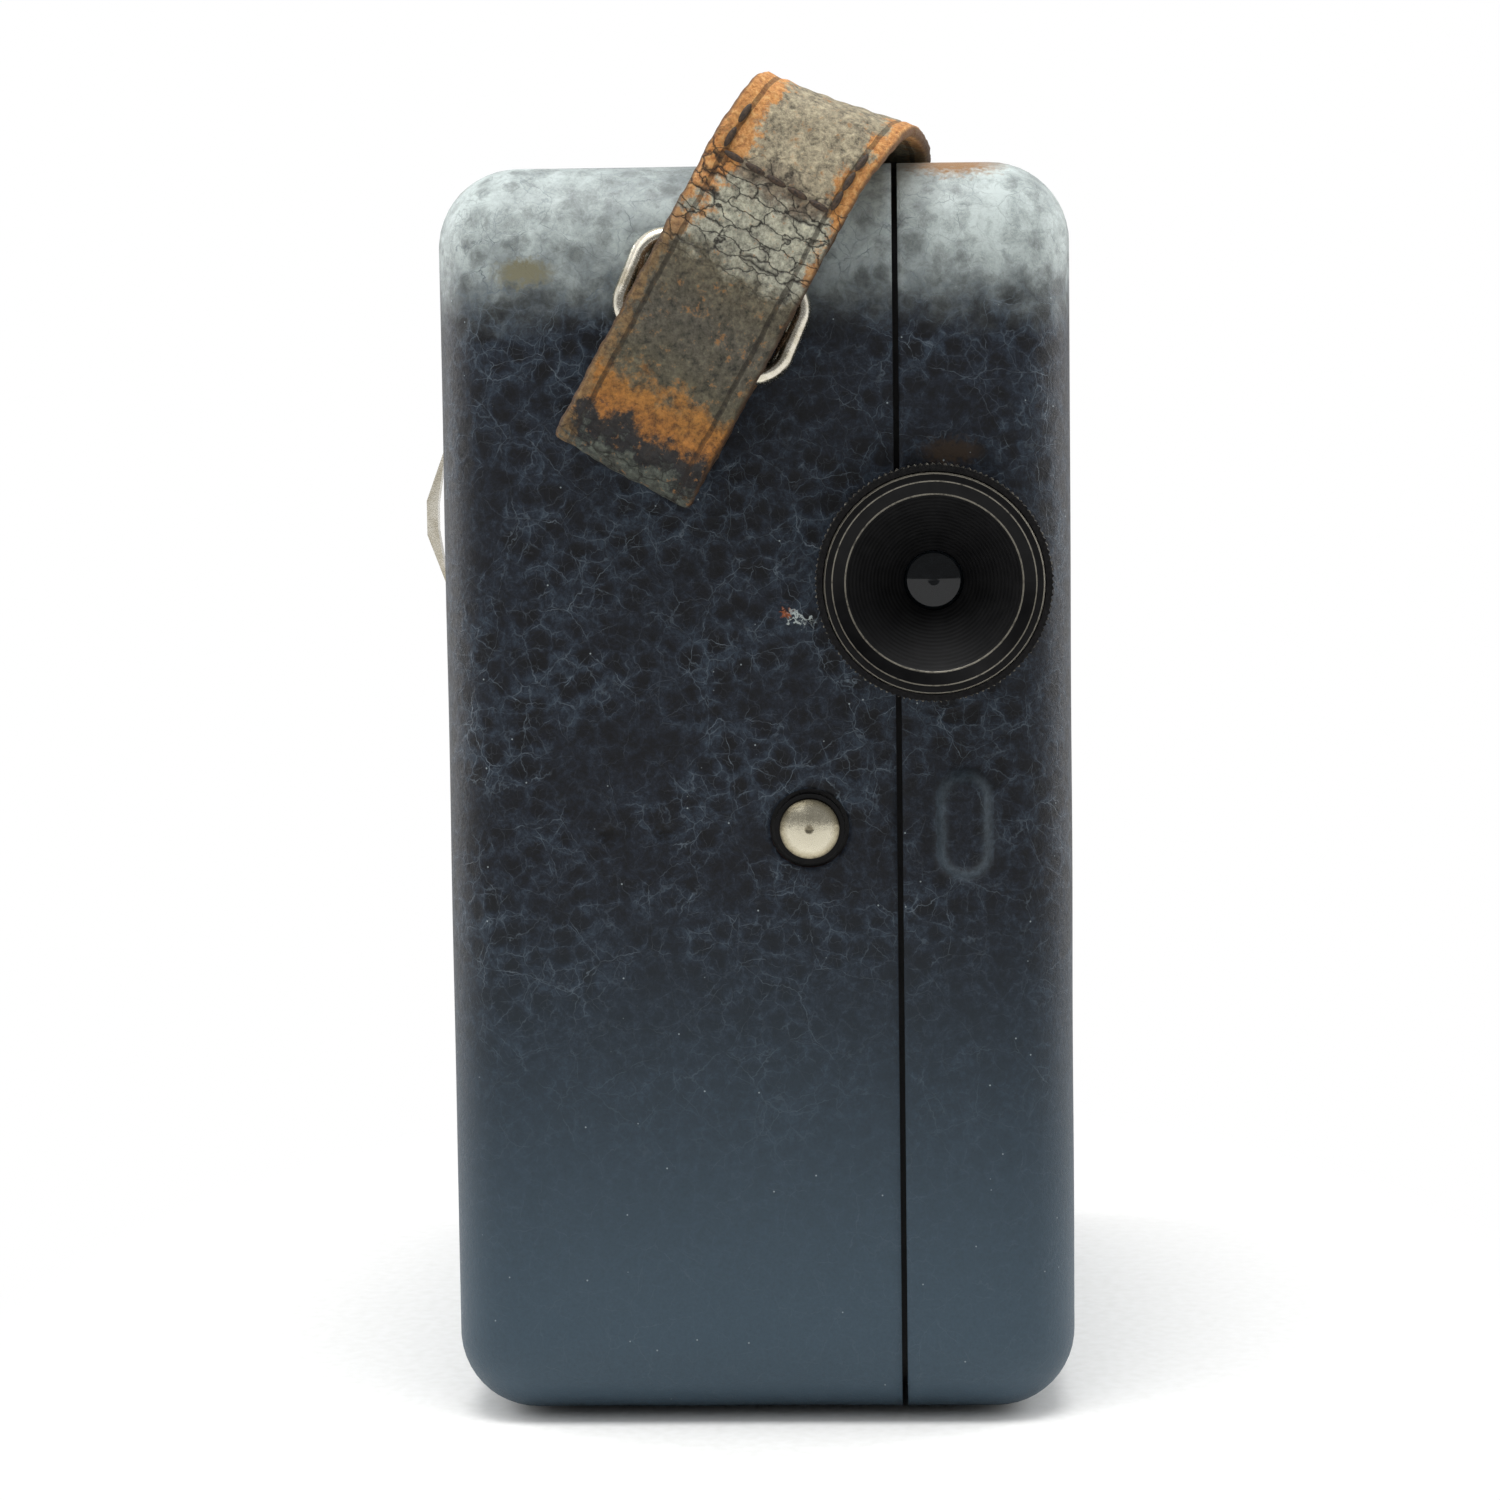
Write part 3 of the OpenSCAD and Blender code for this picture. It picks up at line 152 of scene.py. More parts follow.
def new_material(name):
    """An empty node material and its tree."""
    made = bpy.data.materials.new(name)
    made.use_nodes = True
    made.node_tree.nodes.clear()
    return made, made.node_tree


# Floor: matt white paper, plain and pale. It keeps the shadow close to the case, and further out
# the lens and the mirror-like metals see it as bright as the white surround behind it.
paper, tree = new_material("white_paper")
spread = add(tree, "VectorMath", {0: add(tree, "TexCoord", out="Object"), 1: (0, -0.01, 0)}, operation="SUBTRACT")
spread = add(tree, "VectorMath", {0: spread, 1: (1.25, 0.8, 1.0)}, operation="MULTIPLY")
spread = add(tree, "VectorMath", {0: spread}, out="Value", operation="LENGTH")
faded = add(tree, "MapRange", {0: spread, 1: 0.03, 2: 0.1}, interpolation_type="SMOOTHSTEP")
rays = add(tree, "LightPath").node.outputs
seen = add(tree, "Math", {0: rays["Is Camera Ray"], 1: rays["Is Glossy Ray"]}, operation="MAXIMUM")
seen = add(tree, "Math", {0: seen, 1: rays["Is Transmission Ray"]}, operation="MAXIMUM")
shown = add(tree, "Math", {0: faded, 1: seen}, operation="MULTIPLY")
fibre = add(tree, "TexNoise", {"Vector": add(tree, "TexCoord", out="Object"), "Scale": 900.0, "Detail": 3.0})
sheet = add(tree, "ValToRGB", {0: fibre}, ramp=[(0.3, "#f4f4f2"), (0.7, "#fcfcfb")])
matt = add(tree, "BsdfPrincipled", {"Base Color": sheet, "Roughness": 0.9, "Specular IOR Level": 0.1})
glow = add(tree, "Emission", {"Color": (1, 1, 1, 1), "Strength": 1.0})
add(tree, "OutputMaterial", {0: add(tree, "MixShader", {0: shown, 1: matt, 2: glow})})
side = 3.0
floor = new_piece("floor", [[-side, -side, 0], [side, -side, 0], [side, side, 0], [-side, side, 0]], [[0, 1, 2, 3]], paper)
floor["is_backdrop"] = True

# Case covering: thin blue-black leather drawn wet over the metal case and door and glued.
# Each half is one skin with its cut edges at the seam; a pill-shaped boss is pressed into the
# door's skin and two small dents into the case's.
left_x, right_x, front_y, rear_y = -27.5, 27.5, -45.0, 45.0
low_z, top_z, corner_r, skin_t = 0.3, 110.3, 7.0, 0.66
case_edge, door_edge = 12.05, 12.55
lens_x, lens_z, notch_r = 15.4, 74.4, 7.6
button_x, button_z, guide_r = 4.5, 53.0, 3.43
key_y, key_z, bush_r = 9.9227, 78.4282, 4.12
boss_x, boss_z, boss_half, boss_rise = 17.9, 53.2, (2.5, 4.8), 1.2
dents = ((-12.95, 52.7), (-8.15, 52.75))


def spaced(start, stop, *zones):
    """Grid lines from start to stop: about 1 mm apart, and finer inside each (from, to, step)."""
    marks = sorted({start, stop, *[v for zone in zones for v in zone[:2]]})
    lines = [start]
    for a, b in zip(marks, marks[1:]):
        steps = [z[2] for z in zones if z[0] <= a and b <= z[1]] + [1.1]
        count = max(1, math.ceil((b - a) / min(steps)))
        lines += list(a + (b - a) * np.arange(1, count + 1) / count)
    return np.array(lines)


def skin_half(xs, x_pole):
    """Half of a rounded block, open at the seam. The band's point is the edge line of the flat
    side, plus the section's normal times the radius left at x; past the rounding the flat side is
    a plain grid. Returns points, normals and quads."""
    way = math.copysign(1, x_pole)
    ys = spaced(front_y + corner_r, rear_y - corner_r, (-28, 28, 2))
    zs = spaced(low_z + corner_r, top_z - corner_r, (47, 59, 0.36), (66, 83, 0.8))
    turn = np.radians(np.linspace(0, 90, 9))[1:-1]
    corner = lambda y, z, a0: np.stack([np.full(7, y), np.full(7, z), np.cos(a0 + turn), np.sin(a0 + turn)], 1)
    flat = lambda y, z, ny, nz: np.stack(np.broadcast_arrays(y, z, ny, nz), 1).astype(float)
    ring = np.concatenate([
        flat(ys[0], zs[::-1], -1, 0), corner(ys[0], zs[0], math.pi),
        flat(ys, zs[0], 0, -1), corner(ys[-1], zs[0], 1.5 * math.pi),
        flat(ys[-1], zs, 1, 0), corner(ys[-1], zs[-1], 0),
        flat(ys[::-1], zs[-1], 0, 1), corner(ys[0], zs[-1], 0.5 * math.pi),
    ])
    bend = np.radians(np.linspace(0, 90, 13))[1:]
    x_all = np.concatenate([xs, x_pole - way * corner_r * (1 - np.sin(bend))])
    rho = np.concatenate([np.full(len(xs), corner_r), corner_r * np.cos(bend)])
    nx = np.concatenate([np.zeros(len(xs)), way * np.sin(bend)])
    q, n = ring[:, :2], ring[:, 2:]
    band = np.stack([
        np.broadcast_to(x_all[:, None], (len(x_all), len(ring))),
        q[None, :, 0] + rho[:, None] * n[None, :, 0],
        q[None, :, 1] + rho[:, None] * n[None, :, 1],
    ], 2)
    cosine = np.sqrt(1 - nx**2)
    out = np.stack([
        np.broadcast_to(nx[:, None], band.shape[:2]), cosine[:, None] * n[None, :, 0], cosine[:, None] * n[None, :, 1],
    ], 2)
    rows, cols = band.shape[:2]
    index = np.arange(rows * cols).reshape(rows, cols)
    nxt = np.roll(index, -1, 1)
    quads = np.stack([index[:-1], index[1:], nxt[1:], nxt[:-1]], 2).reshape(-1, 4)
    gy, gz = np.meshgrid(ys, zs, indexing="ij")
    face = np.stack([np.full(gy.shape, x_pole), gy, gz], 2)
    grid = np.arange(gy.size).reshape(gy.shape) + rows * cols
    more = np.stack([grid[:-1, :-1], grid[:-1, 1:], grid[1:, 1:], grid[1:, :-1]], 2).reshape(-1, 4)
    points = np.concatenate([band.reshape(-1, 3), face.reshape(-1, 3)])
    normals = np.concatenate([out.reshape(-1, 3), np.tile([way, 0.0, 0.0], (gy.size, 1))])
    if way < 0:
        quads, more = quads[:, ::-1], more[:, ::-1]
    return points, normals, np.concatenate([quads, more[:, ::-1]])


def pill(x, z):
    """Distance inside the boss's outline: its radius less the distance to its middle line."""
    run = boss_half[1] - boss_half[0]
    return boss_half[0] - np.hypot(x - boss_x, z - boss_z - np.clip(z - boss_z, -run, run))


def pressed(points, normals):
    """Height pressed into the skin: a smooth step up inside the boss, round dents, and a very
    slow unevenness of a few hundredths of a millimetre, always inward."""
    x, y, z = points.T
    front = normals[:, 1] < -0.9
    rise = np.clip((pill(x, z) + 0.1) / 1.1, 0, 1)
    height = np.where(front, boss_rise * np.sin(rise * math.pi / 2) ** 1.5, 0)
    for dx, dz in dents:
        height -= np.where(front, 0.3 * np.exp(-((np.hypot(x - dx, z - dz) / 0.62) ** 4)), 0)
    wave = np.sin(x * 0.31 + z * 0.17) + np.sin(z * 0.23 - y * 0.29 + 1.3) + np.sin(y * 0.21 + x * 0.19 + 4.1)
    return points + normals * (height - 0.012 * (3 + wave))[:, None]


def cut_away(points, quads, inside, snap):
    """Drops the quads whose middle is inside, then snap moves the points left on the cut to it."""
    gone = inside(points[quads].mean(1))
    edge = np.intersect1d(quads[gone], quads[~gone])
    points[edge] = snap(points[edge])
    return points, quads[~gone]


def to_circle(axis, at, radius):
    """Snap for a round hole: the other two coordinates keep their direction from the middle."""
    keep = [k for k in range(3) if k != axis]

    def snap(p):
        off = p[:, keep] - at
        p[:, keep] = at + off * (radius / np.linalg.norm(off, axis=1))[:, None]
        return p

    return snap


def near(axis, value, sign, at, radius):
    """Test for a round hole in the face at value along axis."""
    keep = [k for k in range(3) if k != axis]
    return lambda p: (sign * (p[:, axis] - value) > -2) & (np.linalg.norm(p[:, keep] - at, axis=1) < radius)


def spot(tree, mm, at, half, soft=0.6):
    """Mask of a soft-edged oval with the given middle and half sizes in millimetres: 1 inside,
    falling to 0 at its edge."""
    off = add(tree, "VectorMath", {0: mm, 1: at}, operation="SUBTRACT")
    off = add(tree, "VectorMath", {0: off, 1: half}, operation="DIVIDE")
    far = add(tree, "VectorMath", {0: off}, out="Value", operation="LENGTH")
    return add(tree, "MapRange", {0: far, 1: 1 - soft, 2: 1.0, 3: 1.0, 4: 0.0})


def ridge_wear_and_sheen_mask(x, z, front):
    """How much the skin is painted paler: 1 along the shoulder of the boss, partly rub wear from hands and partly a
    painted highlight on its flanks.
    """
    inside = pill(x, z)
    return front * (np.exp(-(((inside - 0.5) / 0.4) ** 2)) )


# Goat or calf leather, dyed blue-black and old: dark round grain in drifts, pale hairline cracks,
# a pale band along the top and the edges, partly wear where hands rubbed it and partly a painted
# highlight of the light from above, and a smoother lower part, painted paler as a reflection of the floor.
leather, tree = new_material("blue_black_glued_leather")
mm = add(tree, "VectorMath", {0: add(tree, "TexCoord", out="Object"), "Scale": 1000}, operation="SCALE")
place = add(tree, "SeparateXYZ", {0: mm}).node.outputs
pull = add(tree, "TexNoise", {"Vector": mm, "Scale": 0.5, "Detail": 3.0}, out="Color")
pull = add(tree, "VectorMath", {0: pull, 1: (0.5, 0.5, 0.5)}, operation="SUBTRACT")
pulled = add(tree, "VectorMath", {0: pull, 1: (1.4, 1.4, 1.4), 2: mm}, operation="MULTIPLY_ADD")
fray = add(tree, "TexNoise", {"Vector": mm, "Scale": 2.4, "Detail": 2.0}, out="Color")
fray = add(tree, "VectorMath", {0: fray, 1: (0.5, 0.5, 0.5)}, operation="SUBTRACT")
frayed = add(tree, "VectorMath", {0: fray, 1: (0.3, 0.3, 0.3), 2: pulled}, operation="MULTIPLY_ADD")
cell = add(tree, "TexVoronoi", {"Vector": frayed, "Scale": 0.5, "Randomness": 0.95}, out="Distance")
cell = add(tree, "MapRange", {0: cell, 1: 0.18, 2: 0.6}, interpolation_type="SMOOTHSTEP")
drift = add(tree, "TexNoise", {"Vector": mm, "Scale": 0.12, "Detail": 4.0, "Roughness": 0.6})
drift = add(tree, "MapRange", {0: drift, 1: 0.4, 2: 0.62})
broken = add(tree, "TexNoise", {"Vector": mm, "Scale": 0.75, "Detail": 2.0})
broken = add(tree, "MapRange", {0: broken, 1: 0.38, 2: 0.6, 3: 0.15})
rubbed = add(tree, "MapRange", {0: place["Z"], 1: 22.0, 2: 50.0, 3: 0.1, 4: 1.0}, interpolation_type="SMOOTHSTEP")
shows = add(tree, "Math", {0: drift, 1: rubbed}, operation="MULTIPLY")
ridge_wear_and_sheen = add(tree, "Attribute", out="Fac", attribute_name="ridge_wear_and_sheen")
veins = 0.0
# Hairlines round the 2 mm cells, finer ones of 0.9 mm, and long cracks 6 mm apart
for scale, width, strength in ((0.5, 0.03, 0.5), (1.1, 0.04, 0.25), (0.17, 0.008, 0.9)):
    line = add(tree, "TexVoronoi", {"Vector": frayed, "Scale": scale}, feature="DISTANCE_TO_EDGE", out="Distance")
    line = add(tree, "MapRange", {0: line, 1: 0.0, 2: width, 3: strength, 4: 0.0})
    veins = add(tree, "Math", {0: line, 1: veins}, operation="MAXIMUM")
veins = add(tree, "Math", {0: veins, 1: broken}, operation="MULTIPLY")
some = add(tree, "MapRange", {0: shows, 3: 0.16, 4: 1.0})
veins = add(tree, "Math", {0: veins, 1: some}, operation="MULTIPLY")
# Pore grain of 0.3 mm, drawn coarse enough to show
pore = add(tree, "TexNoise", {"Vector": mm, "Scale": 2.8, "Detail": 5.0, "Roughness": 0.7})
blotch = add(tree, "TexNoise", {"Vector": frayed, "Scale": 1.5, "Detail": 6.0, "Roughness": 0.8})
depth = add(tree, "MapRange", {0: shows, 3: 0.08, 4: 0.32})
tone = add(tree, "Math", {0: add(tree, "Math", {0: cell, 1: -0.5}, operation="ADD"), 1: depth, 2: blotch}, operation="MULTIPLY_ADD")
body = add(tree, "ValToRGB", {0: tone}, ramp=[(0.28, "#030408"), (0.46, "#090d15"), (0.58, "#141b26"), (0.76, "#2b3642")])
# Painted reflection of the white floor: the lower part is painted paler and bluer towards the bottom, broken up by the
# pores.
low = add(tree, "MapRange", {0: place["Z"], 1: 52.0, 2: 3.0}, interpolation_type="SMOOTHSTEP")
low = add(tree, "Math", {0: low, 1: add(tree, "MapRange", {0: pore, 1: 0.3, 2: 0.7, 3: 0.72, 4: 0.95})}, operation="MULTIPLY")
body = add(tree, "Mix", {0: low, 6: body, 7: linear("#40525f")}, out=2, data_type="RGBA")
# Pale band: partly wear where hands rubbed the front's top edge and partly a painted highlight of the light from above,
# gone 14 mm lower; faint round the rest of the top
cloud = add(tree, "TexNoise", {"Vector": frayed, "Scale": 0.3, "Detail": 5.0, "Roughness": 0.65})
mottle = add(tree, "MapRange", {0: cloud, 1: 0.36, 2: 0.6, 3: 0.6, 4: 1.0})
grained = add(tree, "MapRange", {0: tone, 1: 0.3, 2: 0.62, 3: 0.6, 4: 1.1})
from_mid = add(tree, "Math", {0: place["X"]}, operation="ABSOLUTE")
corner = add(tree, "MapRange", {0: from_mid, 1: 2.0, 2: 21.0, 3: 0.55, 4: 1.0})
facing = add(tree, "MapRange", {0: place["Y"], 1: -44.0, 2: -26.0, 3: 1.0, 4: 0.16}, interpolation_type="SMOOTHSTEP")
ragged_z = add(tree, "Math", {0: cloud, 1: 5.0, 2: place["Z"]}, operation="MULTIPLY_ADD")
wear_and_painted_sheen = add(tree, "MapRange", {0: ragged_z, 1: 97.5, 2: 108.0}, interpolation_type="SMOOTHSTEP")
flat_top = spot(tree, mm, (0, 0, 111), (30, 48, 3), 0.9)
flat_top = add(tree, "Math", {0: flat_top, 1: -0.6, 2: 1.0}, operation="MULTIPLY_ADD")
for share in (mottle, grained, corner, facing, flat_top):
    wear_and_painted_sheen = add(tree, "Math", {0: wear_and_painted_sheen, 1: share}, operation="MULTIPLY")
body = add(tree, "Mix", {0: wear_and_painted_sheen, 6: body, 7: linear("#bac4c2")}, out=2, data_type="RGBA")
line_tone = add(tree, "Mix", {0: wear_and_painted_sheen, 6: linear("#66727c"), 7: linear("#3f4a50")}, out=2, data_type="RGBA")
body = add(tree, "Mix", {0: veins, 6: body, 7: line_tone}, out=2, data_type="RGBA")
# Paler shoulder on the boss: partly rub wear, partly a painted highlight on its flanks.
lifted = add(tree, "Math", {0: ridge_wear_and_sheen, 1: add(tree, "MapRange", {0: blotch, 1: 0.35, 2: 0.65, 3: 0.35, 4: 0.9})}, operation="MULTIPLY")
body = add(tree, "Mix", {0: lifted, 6: body, 7: linear("#4c575f")}, out=2, data_type="RGBA")
# Wear: bare brown over the lens and along the top of the seam, a tan spot, and a scratch; and painted shade, near
# black, in the two dents
ragged = add(tree, "VectorMath", {0: fray, 1: (2.2, 2.2, 2.2), 2: mm}, operation="MULTIPLY_ADD")
wear_and_painted_shade = (
    ((17.0, -45, 85.4), (3.2, 4, 1.4), "#2f241a"), ((17.5, -42, 110.2), (5.5, 9, 1.6), "#8d6b47"),
    # The two near-black spots on the dents are painted shade.
    ((-19.5, -45, 101.1), (3.2, 4, 1.5), "#77745f"), ((-12.95, -45, 52.7), (0.85, 4, 0.85), "#030407"),
    ((-8.15, -45, 52.75), (0.85, 4, 0.85), "#030407"), ((2.7, -45, 71.7), (0.45, 4, 0.4), "#8a4a26"),
)
for at, half, colour in wear_and_painted_shade:
    body = add(tree, "Mix", {0: spot(tree, ragged, at, half), 6: body, 7: linear(colour)}, out=2, data_type="RGBA")
slanted = add(tree, "Mapping", {"Vector": ragged, "Rotation": (0, math.radians(-24), 0)})
turned = lambda x, z, a: (x * math.cos(a) + z * math.sin(a), z * math.cos(a) - x * math.sin(a))
for x, z, run in ((3.9, 71.3, 1.5), (3.4, 70.9, 0.9)):
    sx, sz = turned(x, z, math.radians(-24))
    body = add(tree, "Mix", {0: spot(tree, slanted, (sx, -45, sz), (run, 4, 0.22)), 6: body, 7: linear("#aab3b2")}, out=2, data_type="RGBA")
dust = add(tree, "TexVoronoi", {"Vector": mm, "Scale": 0.85}).node.outputs
speck = add(tree, "MapRange", {0: dust["Distance"], 1: 0.04, 2: 0.08, 3: 1.0, 4: 0.0})
rare = add(tree, "Math", {0: add(tree, "SeparateColor", {0: dust["Color"]}), 1: 0.8}, operation="GREATER_THAN")
speck = add(tree, "Math", {0: speck, 1: rare}, operation="MULTIPLY")
body = add(tree, "Mix", {0: speck, 6: body, 7: linear("#8d979b")}, out=2, data_type="RGBA")
finish = add(tree, "MapRange", {0: pore, 1: 0.3, 2: 0.7, 3: 0.4, 4: 0.58})
relief = add(tree, "Math", {0: cell, 1: shows}, operation="MULTIPLY")
relief = add(tree, "Math", {0: relief, 1: pore}, operation="ADD")
relief = add(tree, "Math", {0: veins, 1: -0.8, 2: relief}, operation="MULTIPLY_ADD")
bump = add(tree, "Bump", {"Height": relief, "Distance": 0.00007, "Strength": 0.8})
shader = add(tree, "BsdfPrincipled", {"Base Color": body, "Roughness": finish, "Normal": bump, "Specular IOR Level": 0.28})
add(tree, "OutputMaterial", {0: shader})

# The skins' cut edges: undyed fibres, reddish brown and matt
raw_edge, tree = new_material("raw_leather_edge")
mm = add(tree, "VectorMath", {0: add(tree, "TexCoord", out="Object"), "Scale": 1000}, operation="SCALE")
fibre = add(tree, "TexNoise", {"Vector": mm, "Scale": 3.0, "Detail": 4.0})
tint = add(tree, "ValToRGB", {0: fibre}, ramp=[(0.3, "#1c100c"), (0.7, "#4a2a1c")])
bump = add(tree, "Bump", {"Height": fibre, "Distance": 0.00008})
add(tree, "OutputMaterial", {0: add(tree, "BsdfPrincipled", {"Base Color": tint, "Roughness": 0.85, "Normal": bump})})

case_xs = spaced(left_x + corner_r, case_edge, (-18, 8, 0.9), (-14.5, -6.5, 0.4), (0, 9, 0.5))[::-1]
points, normals, quads = skin_half(case_xs, left_x)
points = pressed(points, normals)
hole = near(1, front_y, -1, (button_x, button_z), guide_r)
points, quads = cut_away(points, quads, hole, to_circle(1, (button_x, button_z), guide_r))
points, quads = cut_away(points, quads, near(1, front_y, -1, (lens_x, lens_z), notch_r), to_circle(1, (lens_x, lens_z), notch_r))
points, quads = cut_away(points, quads, near(0, left_x, -1, (key_y, key_z), bush_r), to_circle(0, (key_y, key_z), bush_r))
under = lambda p: (p[:, 2] < 1) & (np.abs(p[:, 1]) < 28) & (p[:, 0] > -18) & (p[:, 0] < 8)
points, quads = cut_away(points, quads, under, lambda p: p)
case_skin = new_piece("case_skin", points * MM, quads, leather)
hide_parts("case_leather")
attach(case_skin, "root")

door_xs = spaced(door_edge, right_x - corner_r, (door_edge, right_x - corner_r, 0.36))
points, normals, quads = skin_half(door_xs, right_x)
points = pressed(points, normals)
points, quads = cut_away(points, quads, near(1, front_y, -1, (lens_x, lens_z), notch_r), to_circle(1, (lens_x, lens_z), notch_r))
door_skin = new_piece("door_skin", points * MM, quads, leather)
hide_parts("door_leather")
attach(door_skin, "side_door")

for skin in (case_skin, door_skin):
    x, y, z = np.array([v.co for v in skin.data.vertices]).T / MM
    # Mask of the boss's shoulder, partly rub wear and partly a painted highlight.
    ridge_rub_and_sheen = ridge_wear_and_sheen_mask(x, z, y < front_y + 1).astype(np.float32)
    skin.data.attributes.new("ridge_wear_and_sheen", "FLOAT", "POINT").data.foreach_set("value", ridge_rub_and_sheen)
    shell = bmesh.new()
    shell.from_mesh(skin.data)
    bmesh.ops.remove_doubles(shell, verts=shell.verts, dist=0.00001)
    loose = [v for v in shell.verts if not v.link_faces]
    bmesh.ops.delete(shell, geom=loose, context="VERTS")
    bmesh.ops.recalc_face_normals(shell, faces=shell.faces)
    shell.to_mesh(skin.data)
    shell.free()
    skin.data.materials.append(raw_edge)
    wall = skin.modifiers.new("leather_thickness", "SOLIDIFY")
    wall.thickness, wall.offset, wall.material_offset_rim = skin_t * MM, -1, 1

# Hand strap: one 13.1 x 1.3 mm strip of bridle leather, grain side out, with a tooled line along
# both edges. Each end goes through a wire ring, folds back up inside and is sewn to the strap.
strap_w, strap_t, strap_lean = 13.1, 1.3, math.radians(29.4)
fold_x, fold_z = -11.3, top_z - 26.6
# Distance up the lean from the fold, and in front of the case, from the sewn end round the fold
hang = [
    (28.5, 4.0), (24, 3.95), (20, 3.85), (18, 3.4), (14.5, 1.7), (12, 1.2), (6.5, 1.1), (2.8, 1.2), (1.5, 1.7), (0.8, 2.8),
    (1.5, 3.9), (2.8, 4.4), (6.5, 4.55), (12, 4.6), (16, 4.8), (20, 5.25), (24, 5.35), (28.3, 5.4),
]
# x, distance behind the front, height over the top and lean in degrees, up to the middle
over = [
    (4.4, -5.2, 0.9, 29), (5.9, -4.3, 2.9, 27), (6.9, -2.5, 3.9, 24), (7.7, 0, 4.2, 20), (8.4, 4, 3.6, 15),
    (8.9, 10, 2.3, 8), (9, 17, 1.3, 3), (9, 25, 0.87, 0), (9, 35, 0.87, 0),
]
lean_x, lean_z = math.sin(strap_lean), math.cos(strap_lean)
half_way = [(fold_x + s * lean_x, front_y - out, fold_z + s * lean_z, strap_lean) for s, out in hang]
half_way += [(x, front_y + back, top_z + up_by, math.radians(deg)) for x, back, up_by, deg in over]
stations = np.array(half_way + [(x, -y, z, lean) for x, y, z, lean in half_way[::-1]])


def smooth_run(stations, step):
    """A smooth curve through the stations, a cubic between neighbours whose slopes are taken over
    both sides, read every step millimetres. Returns the rows and their distance along."""
    far = np.r_[0, np.cumsum(np.linalg.norm(np.diff(stations[:, :3], axis=0), axis=1))]
    slope = np.gradient(stations, far, axis=0)
    at = np.linspace(0, far[-1], int(far[-1] / step))
    k = np.clip(np.searchsorted(far, at, "right") - 1, 0, len(far) - 2)
    h = (far[k + 1] - far[k])[:, None]
    t = (at - far[k])[:, None] / h
    rows = (1 + 2 * t) * (1 - t) ** 2 * stations[k] + t * (1 - t) ** 2 * h * slope[k]
    rows += t * t * (3 - 2 * t) * stations[k + 1] + t * t * (t - 1) * h * slope[k + 1]
    return rows, at


rows, at = smooth_run(stations, 0.4)
centre, lean = rows[:, :3], rows[:, 3]
along_way = np.gradient(centre, axis=0)
along_way /= np.linalg.norm(along_way, axis=1)[:, None]
across = np.stack([np.cos(lean), 0 * lean, -np.sin(lean)], 1)
across -= (across * along_way).sum(1)[:, None] * along_way
across /= np.linalg.norm(across, axis=1)[:, None]
outward = np.cross(across, along_way)
fold_row = np.argmin(centre[: len(at) // 2, 2])
fold_at = at[fold_row]
along = np.minimum(at - fold_at, at[-1] - fold_at - at)

# Section: a crowned grain side with a tooled line 1.5 mm from each edge, round edges, flat back
half_w, half_t, edge_r = strap_w / 2, strap_t / 2, 0.42
face_a = np.linspace(-(half_w - edge_r), half_w - edge_r, 57)
face_n = half_t - 0.12 * (face_a / half_w) ** 2
bow = np.radians(np.linspace(78, -78, 6))
side_a = half_w - edge_r + edge_r * np.cos(bow)
side_n = -0.06 + (half_t - 0.1) * np.sin(bow)
back_a = np.linspace(half_w - edge_r, -(half_w - edge_r), 14)
sec_a = np.concatenate([face_a, side_a, back_a, -side_a[::-1]])
sec_n = np.concatenate([face_n, side_n, np.full(14, -half_t), side_n[::-1]])
on_face = (np.arange(len(sec_a)) < 57) * 1.0
A, V = np.meshgrid(sec_a, along)
S = np.meshgrid(sec_a, at)[1]
tooled = 0.14 * np.exp(-(((np.abs(A) - (half_w - 1.5)) / 0.2) ** 2)) * np.clip((V - 2.5) / 2, 0, 1)
creases = np.zeros(A.shape)
for mid, deep, phase in (
    (-1.1, 0.13, 0.3), (0.3, 0.16, 1.9), (1.6, 0.12, 4.0), (2.9, 0.08, 2.2), (19.6, 0.06, 5.1), (21.3, 0.1, 0.8),
    (22.8, 0.12, 3.3), (24.4, 0.12, 1.2), (26.1, 0.08, 2.7), (31.5, 0.07, 0.1), (34.2, 0.1, 3.9), (37.0, 0.09, 5.6),
):
    wander = 0.45 * np.sin(0.9 * A + phase + 0.03 * S) + 0.25 * np.sin(2.1 * A + 2.7 * phase)
    creases += deep * np.exp(-(((V - mid - wander) / 0.3) ** 2)) * (0.6 + 0.4 * np.sin(0.7 * A + 1.7 * phase))
lumps = 0.035 * (np.sin(1.7 * A + 0.9 * S) + np.sin(0.8 * A - 1.3 * S + 2) + np.sin(2.9 * A + 2.3 * S + 1))
height = sec_n + on_face * (lumps - tooled - creases)
ragged_edge = A * (1 + 0.007 * np.sin(0.9 * S) + 0.005 * np.sin(2.7 * S + A) + 0.004 * np.sin(5.3 * S + 2))
strap_points = centre[:, None] + across[:, None] * ragged_edge[..., None] + outward[:, None] * height[..., None]
count, ring_count = A.shape
grid = np.arange(A.size).reshape(A.shape)
nxt = np.roll(grid, -1, 1)
quads = np.stack([grid[:-1], nxt[:-1], nxt[1:], grid[1:]], 2).reshape(-1, 4)
faces = [*quads.tolist(), grid[0][::-1].tolist(), grid[-1].tolist()]

